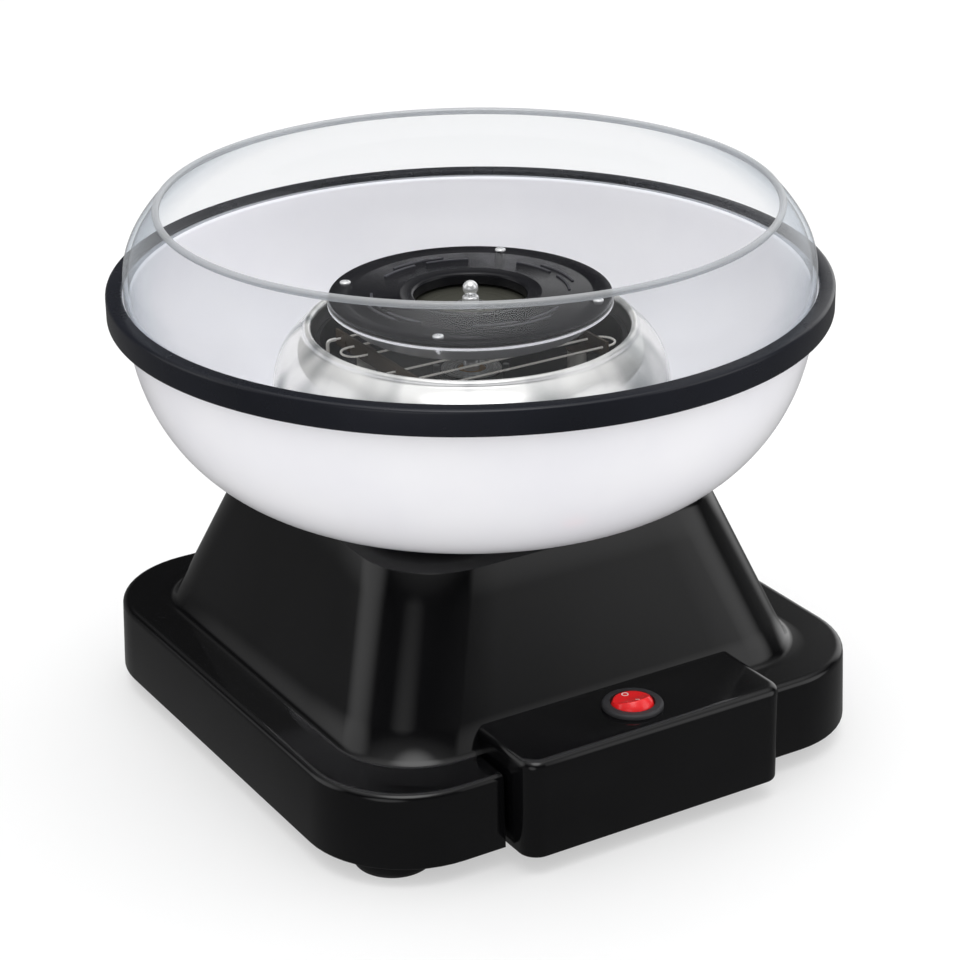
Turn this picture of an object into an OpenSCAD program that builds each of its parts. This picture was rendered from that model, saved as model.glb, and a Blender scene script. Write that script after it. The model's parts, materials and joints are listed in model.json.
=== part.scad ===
// Table-top cotton candy machine: square base with a tapered pedestal, a removable
// bowl with a polished heat guard, a clear splash shield, a spinning sugar head over a
// wire heater, a vertical motor and a rocker switch. Origin: on the spindle axis, on the
// table. The control box faces -Y.

/* [Base] */
// Height of the suction feet below the base
foot_h = 8; // [6:1:12]
// Outer width of the square base
base_w = 254; // [240:1:270]
// Height of the base rim
base_h = 32.4; // [28:0.2:36]
// Plan radius of the base corners
base_r = 45; // [35:1:55]
// Wall thickness of the housing
wall = 2.6; // [2:0.1:3]
// Spacing of the feet from the centre, along X and Y
foot_xy = 98; // [94:1:102]
// Outer radius of each suction foot
foot_r = 16; // [14:0.5:18]

/* [Pedestal] */
// Width of the pedestal where it meets the base
ped_foot_w = 212.4; // [206:0.2:218]
// Width of the pedestal under the bowl
ped_top_w = 161; // [156:1:168]
// Height of the pedestal top above the table
ped_top_z = 110; // [108:1:112]
// Plan radius of the pedestal corners
ped_r = 33; // [28:1:38]

/* [Control box] */
// Width of the control box
box_w = 123; // [116:1:126]
// Distance of its front face from the spindle axis
box_front = 141.5; // [138:0.5:145]
// Height of its top above the table
box_top_z = 50.5; // [49:0.5:53]
// Plan radius of its front corners
box_r = 8; // [6:0.5:10]

/* [Switch] */
// Diameter of the switch bezel
bezel_d = 25; // [22:0.5:26]
// Distance of the switch from the spindle axis
switch_y = 121.5; // [119:0.5:123]
// Half of the rocker's travel
rocker_tilt = 11; // [9:0.5:11]

/* [Bowl] */
// Outer radius of the bowl wall
bowl_r = 142; // [141:0.5:142]
// Height of the bowl's flat underside
bowl_z = 111.5; // [111.5:0.1:111.6]
// Radius of the bowl's central hole
bowl_hole_r = 70; // [70:0.1:70.5]
// Wall thickness of the bowl
bowl_t = 2.4; // [2:0.1:2.6]
// Outer radius of the rim ring
ring_r = 150; // [149:0.5:152]
// Top of the rim ring
ring_top_z = 197.5; // [197.5:0.1:198]
// Height of the rim ring
ring_h = 10.9; // [10:0.1:12]

/* [Splash shield] */
// Outer radius of the shield wall
shield_r = 142.6; // [142:0.1:142.8]
// Outer radius of the shield at its mouth
mouth_r = 129.1; // [126:0.1:132]
// Height of the shield's mouth above the table
mouth_z = 231.6; // [226:0.2:236]
// Wall thickness of the shield
shield_t = 2.2; // [1.8:0.1:2.4]

/* [Sugar head] */
// Radius of the head's top plate
head_r = 59; // [57:0.5:60]
// Height of the top plate above the table
head_top_z = 189.5; // [189.5:0.1:190]
// Radius of the sugar well
well_r = 23.5; // [21:0.5:25]
// Depth of the sugar well
well_depth = 6.2; // [6:0.1:6.4]
// Radius of the four head screws' circle
head_screw_r = 54; // [53:0.5:55]

/* [Heat guard] */
// Radius of the guard's rolled rim
guard_rim_r = 70; // [70:0.2:71]
// Height of the guard's rolled rim
guard_rim_z = 177; // [176:0.2:178]

/* [Drive] */
// Radius of the spindle
spindle_r = 3.5; // [3.5:0.1:3.6]
// Radius of the motor shaft
shaft_r = 1.585; // [1.5:0.01:1.6]
// Radius of the motor can
can_r = 18.1; // [18:0.1:18.4]

/* [Mains lead] */
// Radius of the cord
cord_r = 3.1; // [2.8:0.1:3.2]
// X position of the cord's outlet
cord_x = 76; // [70:1:78]

/* [Hidden] */
$fn = 96;
HULL_FN = 32;
EPS = 0.02;

base_top_z = foot_h + base_h;
plate_z = foot_h + 0.5;
plate_t = 2.5;
plate_top_z = plate_z + plate_t;
deck_t = 3;
deck_z = ped_top_z - deck_t;
ped_slope = (ped_foot_w - ped_top_w) / (ped_top_z - base_top_z);
collar_r = bowl_hole_r - 0.6;
base_screw_xy = [for (x = [-108, 108], y = [-55, 55]) [x, y]];
box_screw_x = 51.5;
box_screw_z = 24;
box_back_y = -ped_foot_w / 2;
lead_xy = [[-49.5, -34.5], [-49.5, 34.5]];
post_xy = [for (x = [-37, 37], y = [-24, 24]) [x, y]];
bracket_xy = [for (x = [-38, 38], y = [-18, 18]) [x, y]];
notch_w = box_w + 4;
box_inner_y = 92;
switch_pivot_z = box_top_z - 1.5;
rocker_face = 4.6;
lever_z = 38;
lever_tilt = 8;
bowl_rim_z = ring_top_z - 2.3;
well_floor_z = head_top_z - well_depth;
plate_under_z = head_top_z - 1.8;
hub_z = 166;
pin_z = 168.5;
pan_z = 150.1;
coil_z = 166;
coil_y = [-34.5, -23, -11.5, 11.5, 23, 34.5];
rail_x = 43;
motor_z = 44;
motor_top_z = 94;
bracket_z = motor_top_z + 0.1;
cord_z = 18;
outlet_y = base_w / 2;

// ---- helpers -------------------------------------------------------------------

function bezier(a, b, c, d, n) = [for (i = [0:n]) let (t = i / n, s = 1 - t)
    s * s * s * a + 3 * s * s * t * b + 3 * s * t * t * c + t * t * t * d];

function arc(c, r, from, to, n) = [for (i = [0:n]) let (a = from + (to - from) * i / n)
    c + r * [cos(a), sin(a)]];

function reversed(v) = [for (i = [len(v) - 1:-1:0]) v[i]];

// Square with round corners, centred
module rounded_square(w, r, l = 0) {
    d = l == 0 ? w : l;
    square([w - 2 * r, d], center = true);
    square([w, d - 2 * r], center = true);
    for (x = [-1, 1], y = [-1, 1])
        translate([x * (w / 2 - r), y * (d / 2 - r)]) circle(r);
}

// Slab with round corners, standing on height z
module slab(w, r, z, h, l = 0) {
    translate([0, 0, z]) linear_extrude(h) rounded_square(w, r, l);
}

// Ring with a rectangular section
module tube(outer, inner, z, h) {
    translate([0, 0, z]) difference() {
        cylinder(r = outer, h = h);
        translate([0, 0, -1]) cylinder(r = inner, h = h + 2);
    }
}

module at(points, z = 0) {
    for (p = points) translate([p[0], p[1], z]) children();
}

module around(r, count, start = 0) {
    for (i = [0:count - 1]) rotate(start + i * 360 / count) translate([r, 0, 0]) children();
}

// Pan-head screw pointing up, its head under height z
module screw(z, length, shank = 1.38, head = 3) {
    translate([0, 0, z]) cylinder(r = shank, h = length, $fn = 24);
    translate([0, 0, z - 2]) difference() {
        cylinder(r = head, h = 2, $fn = 32);
        for (a = [0, 90]) rotate(a) translate([-0.4, -1.8, -1]) cube([0.8, 3.6, 1.8]);
    }
}

// The same screw pointing down, its head on height z
module screw_down(z, length, shank = 1.38, head = 3) {
    translate([0, 0, z]) mirror([0, 0, 1]) screw(0, length, shank, head);
}

// Flexible lead through the given points, with a plain section
module lead(points, r, sides = 6) {
    for (i = [0:len(points) - 2]) hull() {
        translate(points[i]) sphere(r, $fn = sides);
        translate(points[i + 1]) sphere(r, $fn = sides);
    }
}

// ---- base ----------------------------------------------------------------------

// Outer form of the pedestal, grown by g on every side
module pedestal_form(g, z0, z1) {
    w0 = ped_foot_w + 2 * g - (z0 - base_top_z) * ped_slope;
    w1 = ped_foot_w + 2 * g - (z1 - base_top_z) * ped_slope;
    hull() {
        slab(w0, ped_r + g, z0, EPS, $fn = HULL_FN * 2);
        slab(w1, ped_r + g, z1 - EPS, EPS, $fn = HULL_FN * 2);
    }
}

module rim_form() {
    hull() {
        slab(base_w - 2, base_r - 1, foot_h, base_h - 4, $fn = HULL_FN * 2);
        slab(base_w, base_r, foot_h + 2, base_h - 5, $fn = HULL_FN * 2);
        slab(base_w - 5, base_r - 2.5, foot_h + 4, base_h - 4, $fn = HULL_FN * 2);
    }
}

// Side and back walls of the recess behind the control box, with a window for the wires
module recess_walls() {
    difference() {
        translate([-notch_w / 2 - wall, -base_w / 2 + 1, foot_h])
            cube([notch_w + 2 * wall, base_w / 2 + box_back_y - 1 + wall, base_h - 1]);
        translate([-notch_w / 2, -base_w, foot_h - 1])
            cube([notch_w, base_w + box_back_y, base_h + 2]);
        translate([-20, box_back_y - 1, 14]) cube([40, wall + 2, 20]);
        at_box_screws() cylinder(r = 1.6, h = 20, center = true, $fn = 24);
    }
}

// Frames of the two screws that hold the control box, pointing forwards
module at_box_screws() {
    for (x = [-box_screw_x, box_screw_x]) translate([x, box_back_y + wall + 0.05, box_screw_z])
        rotate([90, 0, 0]) children();
}

module housing() {
    color([0.03, 0.03, 0.035]) {
        difference() {
            union() {
                rim_form();
                pedestal_form(0, base_top_z - 1, ped_top_z);
                tube(collar_r, collar_r - 2.8, ped_top_z - 1, 11);
            }
            slab(base_w - 2 * wall, base_r - wall, foot_h - 1, base_h + 1 - wall);
            pedestal_form(-wall, base_top_z - wall - 1, deck_z);
            translate([0, 0, deck_z - 1]) cylinder(r = 34, h = 20);
            around(51, 4, 45) translate([0, 0, deck_z - 1]) cylinder(r = 1.42, h = 6, $fn = 24);
            at(lead_xy, deck_z - 1) cylinder(r = 3, h = 6);
            translate([-notch_w / 2, -base_w / 2 - 1, foot_h - 1])
                cube([notch_w, 1 + (base_w - ped_foot_w) / 2, base_h + 2]);
            translate([cord_x, outlet_y - 5, cord_z]) rotate([-90, 0, 0])
                cylinder(r = 5.2, h = 12);
        }
        recess_walls();
        at(base_screw_xy) screw_boss(plate_top_z + 0.1, base_top_z - 1);
        at(bracket_xy) screw_boss(98.1, deck_z + 1);
    }
}

module screw_boss(z0, z1) {
    tube(4.5, 1.4, z0, z1 - z0);
}

module base_plate() {
    w = base_w - 2 * wall - 0.8;
    color([0.05, 0.05, 0.055]) {
        difference() {
            slab(w, base_r - wall - 0.4, plate_z, plate_t);
            translate([-notch_w / 2 - wall - 0.4, -base_w / 2, plate_z - 1])
                cube([notch_w + 2 * wall + 0.8, base_w / 2 + box_back_y + wall + 0.4, 5]);
            for (i = [-5:5]) translate([i * 8 - 2, -30, plate_z - 1]) cube([4, 60, 5]);
            at(base_screw_xy, plate_z - 1) cylinder(r = 1.6, h = 5);
            at([for (x = [-1, 1], y = [-1, 1]) foot_xy * [x, y]], plate_z - 1)
                cylinder(r = 4, h = 5);
        }
        at(board_posts, plate_top_z - 1) cylinder(r = 3, h = 7);
        at([[62, 86], [84, 86]], plate_top_z - 1) cylinder(r = 3, h = 4);
    }
}

module suction_feet() {
    color([0.04, 0.04, 0.04])
        at([for (x = [-1, 1], y = [-1, 1]) foot_xy * [x, y]]) suction_foot();
}

// Soft cup with a hollow underside, a neck and a button pressed through the base plate
module suction_foot() {
    rotate_extrude() polygon(concat(
        [[0, 2.6], [7, 2], [11, 1], [foot_r - 2.4, 0], [foot_r, 0]],
        arc([foot_r - 4, 1], 4.2, 0, 60, 6),
        [[11.5, 5.6], [11.5, plate_z - 0.1], [3.85, plate_z - 0.1], [3.85, plate_top_z + 0.1],
         [5.4, plate_top_z + 0.1], [3.6, plate_top_z + 2.4], [0, plate_top_z + 2.4]]));
}

module base_screws() {
    color([0.7, 0.7, 0.72]) {
        at(base_screw_xy) screw(plate_z - 0.1, 18);
        at_box_screws() screw(0, 14);
    }
}

// ---- control box and switch ------------------------------------------------------

module box_plan(inset) {
    r = box_r - inset / 2;
    w = box_w - 2 * inset;
    front = box_front - inset;
    translate([-w / 2, -front + r]) square([w, front - r - box_inner_y]);
    translate([-w / 2 + r, -front]) square([w - 2 * r, r + 1]);
    for (x = [-1, 1]) translate([x * (w / 2 - r), -front + r]) circle(r);
}

module box_form(inset, z0, z1, edge) {
    hull() {
        translate([0, 0, z0]) linear_extrude(z1 - z0 - edge) box_plan(inset, $fn = HULL_FN);
        translate([0, 0, z0]) linear_extrude(z1 - z0) box_plan(inset + edge * 0.8, $fn = HULL_FN);
    }
}

module control_box() {
    color([0.03, 0.03, 0.035]) {
        difference() {
            union() {
                difference() {
                    box_form(0, foot_h, box_top_z, 3.5);
                    box_form(2.4, foot_h + 2.4, box_top_z - 2.4, 2);
                }
                at_box_screws() translate([0, 0, wall]) cylinder(r = 4.2, h = 14);
            }
            pedestal_form(0.15, base_top_z, ped_top_z);
            translate([-box_w, box_back_y - 0.15, foot_h - 1]) cube([2 * box_w, 40, base_h + 1.15]);
            translate([0, -switch_y, box_top_z - 5]) cylinder(r = 10, h = 8);
            at_box_screws() cylinder(r = 1.4, h = 34, center = true, $fn = 24);
        }
    }
}

// Round snap-in switch body: bezel, barrel and floor
module switch_body() {
    color([0.07, 0.07, 0.07]) translate([0, -switch_y, 0]) difference() {
        rotate_extrude() polygon(concat(
            [[0, 30], [9.9, 30], [9.9, box_top_z + 0.05], [bezel_d / 2, box_top_z + 0.05]],
            arc([bezel_d / 2 - 1.3, box_top_z + 0.7], 1.3, 0, 90, 6),
            [[9.15, box_top_z + 2], [9.15, 34], [0, 34]]));
        translate([-12, 0, switch_pivot_z]) rotate([0, 90, 0]) cylinder(r = 1.05, h = 24);
        for (y = [-6, 0, 6]) translate([-2.6, y - 0.5, 29]) cube([5.2, 1, 6]);
    }
}

module switch_terminals() {
    color([0.8, 0.68, 0.35]) translate([0, -switch_y, 0]) {
        for (y = [-6, 0, 6]) translate([-2.5, y - 0.4, 22]) cube([5, 0.8, y == 0 ? 13.5 : 13]);
        translate([-1.5, 5, 34.95]) cube([3, 2, 1.6]);
        difference() {
            translate([-4.2, -1.5, 34.05]) cube([8.4, 3, 5.4]);
            translate([-3, -2, 35.4]) cube([6, 4, 5]);
            translate([-5, 0, lever_z]) rotate([0, 90, 0]) cylinder(r = 0.66, h = 10, $fn = 32);
        }
    }
}

// Rocker at rest in its OFF position: the +Y half is pressed level
module rocker() {
    color([0.85, 0.05, 0.06]) translate([0, -switch_y, switch_pivot_z])
        rotate([-rocker_tilt, 0, 0]) difference() {
            sphere(9);
            for (s = [-1, 1]) translate([0, 0, rocker_face]) rotate([s * rocker_tilt, 0, 0])
                translate([-10, s > 0 ? 0 : -20, 0]) cube([20, 20, 10]);
            translate([-10, -10, -14]) cube([20, 20, 9]);
            rotate([0, 90, 0]) translate([0, 0, -12]) cylinder(r = 1.02, h = 24);
            translate([0, 0, -6]) cylinder(r = 1.6, h = 3.4);
        }
}

module rocker_pin() {
    color([0.75, 0.75, 0.77]) translate([-9.7, -switch_y, switch_pivot_z])
        rotate([0, 90, 0]) cylinder(r = 1, h = 19.4, $fn = 32);
}

// Spring plunger carried in the rocker's underside
module rocker_plunger() {
    tip = switch_pivot_z - lever_z - 0.6;
    color([0.9, 0.9, 0.86]) translate([0, -switch_y, switch_pivot_z])
        rotate([-rocker_tilt, 0, 0]) rotate_extrude() polygon(concat(
            [[0, -2.7], [1.55, -2.7], [1.55, 2 - tip], [1.2, 1.6 - tip]],
            arc([0, 1.2 - tip], 1.2, 0, -90, 6)));
}

module contact_lever() {
    color([0.8, 0.5, 0.3]) translate([0, -switch_y, lever_z]) rotate([lever_tilt, 0, 0]) {
        translate([-2.5, -6.8, -0.4]) cube([5, 13.6, 0.8]);
        translate([-4.1, 0, 0]) rotate([0, 90, 0]) cylinder(r = 0.6, h = 8.2, $fn = 32);
    }
}

// ---- motor -----------------------------------------------------------------------

module motor_can() {
    color([0.72, 0.73, 0.75]) difference() {
        union() {
            translate([0, 0, motor_z]) cylinder(r = can_r, h = motor_top_z - motor_z);
            translate([0, 0, motor_top_z - 1]) cylinder(r = 6.5, h = 5);
        }
        translate([0, 0, motor_z - 1]) cylinder(r = can_r - 1.5, h = motor_top_z - motor_z - 0.5);
        translate([0, 0, motor_top_z - 5]) cylinder(r = 4.02, h = 12);
        for (x = [-12.5, 12.5]) translate([x, 0, motor_top_z - 5]) cylinder(r = 1.42, h = 10);
    }
}

module motor_end_cap() {
    color([0.1, 0.1, 0.1]) difference() {
        union() {
            translate([0, 0, motor_z - 4.05]) cylinder(r = can_r, h = 4);
            translate([0, 0, motor_z - 9]) cylinder(r = 7, h = 8);
        }
        translate([0, 0, motor_z - 20]) cylinder(r = 4.02, h = 30);
    }
}

module field_magnets() {
    color([0.2, 0.2, 0.22]) for (a = [30, 210]) rotate(a)
        rotate_extrude(angle = 120) translate([13.6, 50]) square([2.9, 38]);
}

module carbon_brushes() {
    color([0.12, 0.12, 0.13]) for (s = [-1, 1]) translate([s * 7.9 - 3, -2, 45.2]) cube([6, 4, 4]);
}

module brush_holders() {
    color([0.8, 0.68, 0.35]) for (s = [-1, 1]) translate([s * 10 - 3, 0, 0]) difference() {
        translate([0, -3, motor_z + 0.1]) cube([6, 6, 6.2]);
        translate([-1, -2.1, 45.1]) cube([8, 4.2, 4.2]);
    }
}

module motor_bushes() {
    color([0.72, 0.5, 0.25]) {
        tube(4, shaft_r + 0.05, motor_top_z - 1.4, 5);
        tube(4, shaft_r + 0.05, motor_z - 8.8, 8.4);
    }
}

module motor_shaft() {
    color([0.75, 0.75, 0.77]) translate([0, 0, 21]) cylinder(r = shaft_r, h = 90.5);
}

// Laminated core with five winding slots
module armature_core() {
    color([0.45, 0.45, 0.47]) difference() {
        translate([0, 0, 56]) cylinder(r = 13, h = 26);
        translate([0, 0, 50]) cylinder(r = shaft_r + 0.02, h = 40);
        for (i = [0:4]) rotate(i * 72) {
            translate([10, -1, 50]) cube([6, 2, 40]);
            translate([8.4, 0, 50]) cylinder(r = 3, h = 40);
        }
    }
}

module armature_windings() {
    color([0.72, 0.36, 0.18]) {
        for (i = [0:4]) rotate(i * 72) translate([8.4, 0, 51.5]) cylinder(r = 2.9, h = 35);
        for (z = [53, 85]) rotate_extrude() translate([8.4, z]) circle(2.7);
    }
}

module commutator() {
    color([0.72, 0.4, 0.2]) difference() {
        translate([0, 0, 44.4]) cylinder(r = 4.6, h = 5.4);
        translate([0, 0, 40]) cylinder(r = shaft_r + 0.02, h = 20);
        for (i = [0:4]) rotate(36 + i * 72) translate([3.6, -0.25, 40]) cube([3, 0.5, 20]);
    }
}

module cooling_fan() {
    color([0.85, 0.85, 0.86]) difference() {
        union() {
            translate([0, 0, 22]) cylinder(r = 6, h = 11);
            around(0, 7) translate([0, 0, 27.5]) rotate([32, 0, 0]) translate([4, -6.5, -0.6])
                cube([25, 13, 1.2]);
        }
        translate([0, 0, 15]) cylinder(r = shaft_r + 0.02, h = 30);
    }
}

module motor_bracket() {
    color([0.62, 0.63, 0.65]) difference() {
        slab(96, 10, bracket_z, 2.5, 56);
        translate([0, 0, bracket_z - 1]) cylinder(r = 6.7, h = 5);
        for (x = [-12.5, 12.5]) translate([x, 0, bracket_z - 1]) cylinder(r = 1.6, h = 5);
        at(bracket_xy, bracket_z - 1) cylinder(r = 4, h = 5);
        for (y = [-1, 1]) translate([0, y * 19, bracket_z - 1]) cylinder(r = 5, h = 5);
    }
}

module rubber_grommets() {
    z = bracket_z;
    color([0.06, 0.06, 0.06]) at(bracket_xy) rotate_extrude() polygon([[2, z - 1.4],
        [6.2, z - 1.4], [6.2, z - 0.05], [3.9, z - 0.05], [3.9, z + 2.55], [6.2, z + 2.55],
        [6.2, z + 3.9], [2, z + 3.9]]);
}

module motor_screws() {
    color([0.7, 0.7, 0.72]) for (x = [-12.5, 12.5]) translate([x, 0, 0])
        screw_down(bracket_z + 2.55, 5);
}

module bracket_screws() {
    color([0.7, 0.7, 0.72]) at(bracket_xy) screw(bracket_z - 1.5, 11, 1.36, 4);
}

// ---- spindle and its bearing -------------------------------------------------------

module shaft_coupling() {
    color([0.75, 0.62, 0.3]) difference() {
        translate([0, 0, 100]) cylinder(r = 8, h = 24);
        translate([0, 0, 99]) cylinder(r = shaft_r + 0.02, h = 14);
        translate([0, 0, 111.6]) cylinder(r = spindle_r + 0.02, h = 14);
        for (z = [105, 118]) translate([0, 0, z]) rotate([0, 90, 0])
            cylinder(r = 1.5, h = 9, $fn = 32);
    }
}

module coupling_screws() {
    color([0.2, 0.2, 0.22]) for (p = [[105, shaft_r], [118, spindle_r]])
        translate([p[1] + 0.1, 0, p[0]]) rotate([0, 90, 0])
            cylinder(r = 1.47, h = 7.6 - p[1], $fn = 32);
}

// Turned spindle with a ball end that the head slides over
module spindle() {
    ball_z = head_top_z + 1.7;
    r = spindle_r;
    color([0.8, 0.8, 0.82]) difference() {
        rotate_extrude() polygon(concat(
            [[0, 112], [r, 112], [r, head_top_z - 2.6]],
            arc([r - 1.2, head_top_z - 2.6], 1.2, 0, 70, 6),
            [[1.9, head_top_z - 1.2]],
            arc([0, ball_z], 3.25, -54, 90, 18)));
        translate([-5, 0, pin_z]) rotate([0, 90, 0]) cylinder(r = 1.5, h = 10, $fn = 32);
    }
}

module drive_pin() {
    color([0.7, 0.7, 0.72]) translate([-7, 0, pin_z]) rotate([0, 90, 0])
        cylinder(r = 1.47, h = 14, $fn = 32);
}

module bearing_housing() {
    color([0.6, 0.61, 0.63]) difference() {
        union() {
            translate([0, 0, 138]) cylinder(r = 12.8, h = 18);
            translate([0, 0, pan_z - 2.6]) cylinder(r = 21, h = 2.5);
        }
        translate([0, 0, 137]) cylinder(r = 6.02, h = 20);
        around(17, 3) translate([0, 0, pan_z - 4]) cylinder(r = 1.6, h = 6, $fn = 24);
    }
}

module spindle_bush() {
    color([0.72, 0.5, 0.25]) tube(6, spindle_r + 0.05, 138.5, 17);
}

// ---- heater ----------------------------------------------------------------------

// Sheet-steel tower that carries the heater pan over the pedestal's deck
module heater_tower() {
    z = ped_top_z + 0.1;
    color([0.66, 0.67, 0.69]) difference() {
        rotate_extrude() polygon([[44, z], [58, z], [58, pan_z - 0.1], [47.5, pan_z - 0.1],
            [47.5, pan_z - 1.3], [56.8, pan_z - 1.3], [56.8, z + 1.2], [44, z + 1.2]]);
        around(51, 4, 45) translate([0, 0, z - 1]) cylinder(r = 1.6, h = 4, $fn = 24);
        around(51, 3, 90) translate([0, 0, pan_z - 4]) cylinder(r = 1.6, h = 6, $fn = 24);
        around(50, 12, 15) translate([0, -3, z + 12]) cube([12, 6, 18]);
    }
}

module tower_screws() {
    color([0.7, 0.7, 0.72]) around(51, 4, 45) screw_down(ped_top_z + 1.4, 5.5);
}

module heater_pan() {
    z = pan_z;
    color([0.7, 0.71, 0.72]) difference() {
        rotate_extrude() polygon(concat(
            [[13, z], [56, z]], arc([56, z + 8.2], 8.2, -90, 0, 8),
            [[64.2, z + 18.6], [65.2, z + 19.4], [65.2, z + 20], [63.2, z + 20], [63.2, z + 8.2]],
            arc([56, z + 8.2], 7.2, 0, -90, 8), [[13, z + 1]]));
        around(17, 3) translate([0, 0, z - 1]) cylinder(r = 1.6, h = 4, $fn = 24);
        around(51, 3, 90) translate([0, 0, z - 1]) cylinder(r = 1.6, h = 4, $fn = 24);
        at(post_xy, z - 1) cylinder(r = 1.6, h = 4, $fn = 24);
        at(lead_xy, z - 1) cylinder(r = 2.1, h = 8);
    }
}

module pan_screws() {
    color([0.7, 0.7, 0.72]) {
        around(17, 3) screw(pan_z - 2.7, 6.5);
        around(51, 3, 90) screw(pan_z - 1.4, 5);
        at(post_xy) screw(pan_z - 0.1, 8);
    }
}

// Ceramic standoffs for the mica rails, and feed-through beads for the leads
module ceramic_posts() {
    color([0.93, 0.91, 0.86]) {
        at(post_xy) difference() {
            translate([0, 0, pan_z + 1.1]) cylinder(r = 4, h = 12);
            translate([0, 0, pan_z]) cylinder(r = 1.45, h = 9);
        }
        at(lead_xy) tube(2, 0.9, pan_z - 3, 12);
    }
}

// Two upright mica rails with feet on the ceramic standoffs
module mica_rails() {
    color([0.6, 0.45, 0.28]) for (s = [-1, 1]) difference() {
        union() {
            translate([s * rail_x - 0.6, -38, pan_z + 13.2]) cube([1.2, 76, 7]);
            for (y = [-24, 24]) translate([s * 38.1 - 4.4, y - 4, pan_z + 13.2])
                cube([8.8, 8, 1]);
        }
        for (y = coil_y) translate([s * rail_x - 2, y, coil_z + 1]) rotate([0, 90, 0])
            cylinder(r = 1.25, h = 4, $fn = 32);
    }
}

// One resistance wire laid in six runs, with end loops and two leads
module heater_coils() {
    r = 1.1;
    reach = rail_x + 3;
    color([0.55, 0.5, 0.47]) translate([0, 0, coil_z + 1]) {
        for (y = coil_y) translate([-reach, y, 0]) rotate([0, 90, 0])
            cylinder(r = r, h = 2 * reach, $fn = 24);
        for (i = [0:4]) coil_loop(reach, coil_y[i], coil_y[i + 1], i % 2 == 0 ? 1 : -1, r);
        for (y = [coil_y[0], coil_y[5]]) translate([-reach, y, 0]) {
            translate([-3.5, 0, 0]) rotate([0, 90, 0]) cylinder(r = r * 0.7, h = 5, $fn = 16);
            translate([-3.5, 0, -24]) cylinder(r = r * 0.74, h = 24.8, $fn = 16);
        }
    }
}

module coil_loop(reach, y0, y1, side, r) {
    translate([side * reach, (y0 + y1) / 2, 0]) rotate(side > 0 ? -90 : 90)
        rotate_extrude(angle = 180, $fn = 48) translate([(y1 - y0) / 2, 0]) circle(r, $fn = 24);
}

module thermal_fuse() {
    color([0.85, 0.85, 0.8]) translate([-6, 32, pan_z - 3.3]) rotate([0, 90, 0]) {
        cylinder(r = 2, h = 12, $fn = 32);
        translate([0, 0, -8]) cylinder(r = 0.5, h = 28, $fn = 16);
    }
}

// ---- sugar head --------------------------------------------------------------------

module head_plate() {
    top = head_top_z;
    color([0.09, 0.09, 0.1]) difference() {
        rotate_extrude() polygon(concat(
            [[well_r, well_floor_z + 1.4], [well_r + 1.6, well_floor_z + 1.4],
             [well_r + 1.6, plate_under_z], [head_r, plate_under_z]],
            arc([head_r - 0.6, top - 0.6], 0.6, 0, 90, 4),
            arc([well_r + 1.2, top - 1.2], 1.2, 90, 180, 6)));
        around(head_screw_r, 4, 45) translate([0, 0, top - 4]) cylinder(r = 1.45, h = 8, $fn = 24);
    }
}

// Aluminium sugar pan: flat floor, sloping web and an outer flange
module head_pan() {
    z = well_floor_z;
    f = plate_under_z - 0.7;
    color([0.75, 0.76, 0.76]) difference() {
        rotate_extrude() polygon([[5, z], [27, z], [44, z - 3.4], [50, z - 3.4], [55, f],
            [head_r + 0.4, f], [head_r + 0.4, f - 1.1], [55.6, f - 1.1], [50.6, z - 4.6],
            [43.8, z - 4.6], [26.8, z - 1.2], [5, z - 1.2]]);
        around(head_screw_r, 4, 45) translate([0, 0, z - 8]) cylinder(r = 1.45, h = 16, $fn = 24);
    }
}

// Band of fine slots that the melted sugar is thrown through
module floss_band() {
    z0 = well_floor_z - 3.3;
    color([0.7, 0.7, 0.7]) difference() {
        tube(48.5, 48, z0, plate_under_z - 0.1 - z0);
        for (i = [0:35]) rotate(i * 10) translate([46, -0.5, z0 + 1.2])
            cube([4, 1, plate_under_z - z0 - 2.4]);
    }
}

// Turned hub with a slot that drops over the drive pin
module head_hub() {
    color([0.62, 0.63, 0.65]) difference() {
        union() {
            translate([0, 0, hub_z]) cylinder(r = 8, h = well_floor_z - 1.3 - hub_z);
            translate([0, 0, hub_z]) cylinder(r = 4.9, h = well_floor_z + 1 - hub_z);
            translate([0, 0, well_floor_z + 0.1]) cylinder(r = 6.4, h = 0.9);
        }
        translate([0, 0, hub_z - 1]) cylinder(r = spindle_r + 0.05, h = 30);
        translate([-9, -1.55, hub_z - 1]) cube([18, 3.1, pin_z + 1.55 - hub_z + 1]);
    }
}

module head_screws() {
    color([0.8, 0.8, 0.82]) around(head_screw_r, 4, 45) {
        translate([0, 0, head_top_z - 4.4]) cylinder(r = 1.42, h = 4.4, $fn = 24);
        translate([0, 0, head_top_z + 0.05]) cylinder(r1 = 2.2, r2 = 1.4, h = 1, $fn = 32);
        tube(2.4, 1.5, plate_under_z - 0.65, 0.6);
    }
}

// ---- bowl, ring, guard and shield -----------------------------------------------------

function bowl_curve(t) = bezier([75.2, bowl_z + t], [bowl_r - 26.5 - t * 0.3, bowl_z + t],
    [bowl_r - t, bowl_z + 36.2 + t * 0.3], [bowl_r - t, bowl_z + 75.1], 18);

module bowl() {
    lip = bowl_rim_z;
    color([0.93, 0.93, 0.92]) difference() {
        rotate_extrude($fn = 180) polygon(concat(
            [[bowl_hole_r, bowl_z]], bowl_curve(0),
            [[bowl_r, lip - 2.1], [ring_r - 2.5, lip - 2.1], [ring_r - 2.5, lip],
             [bowl_r - bowl_t, lip]],
            reversed(bowl_curve(bowl_t)),
            [[bowl_hole_r + bowl_t, bowl_z + bowl_t], [bowl_hole_r + bowl_t, bowl_z + 12.5],
             [bowl_hole_r, bowl_z + 12.5]]));
        at_rivets() cylinder(r = 1.25, h = 12, center = true, $fn = 24);
    }
}

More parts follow.
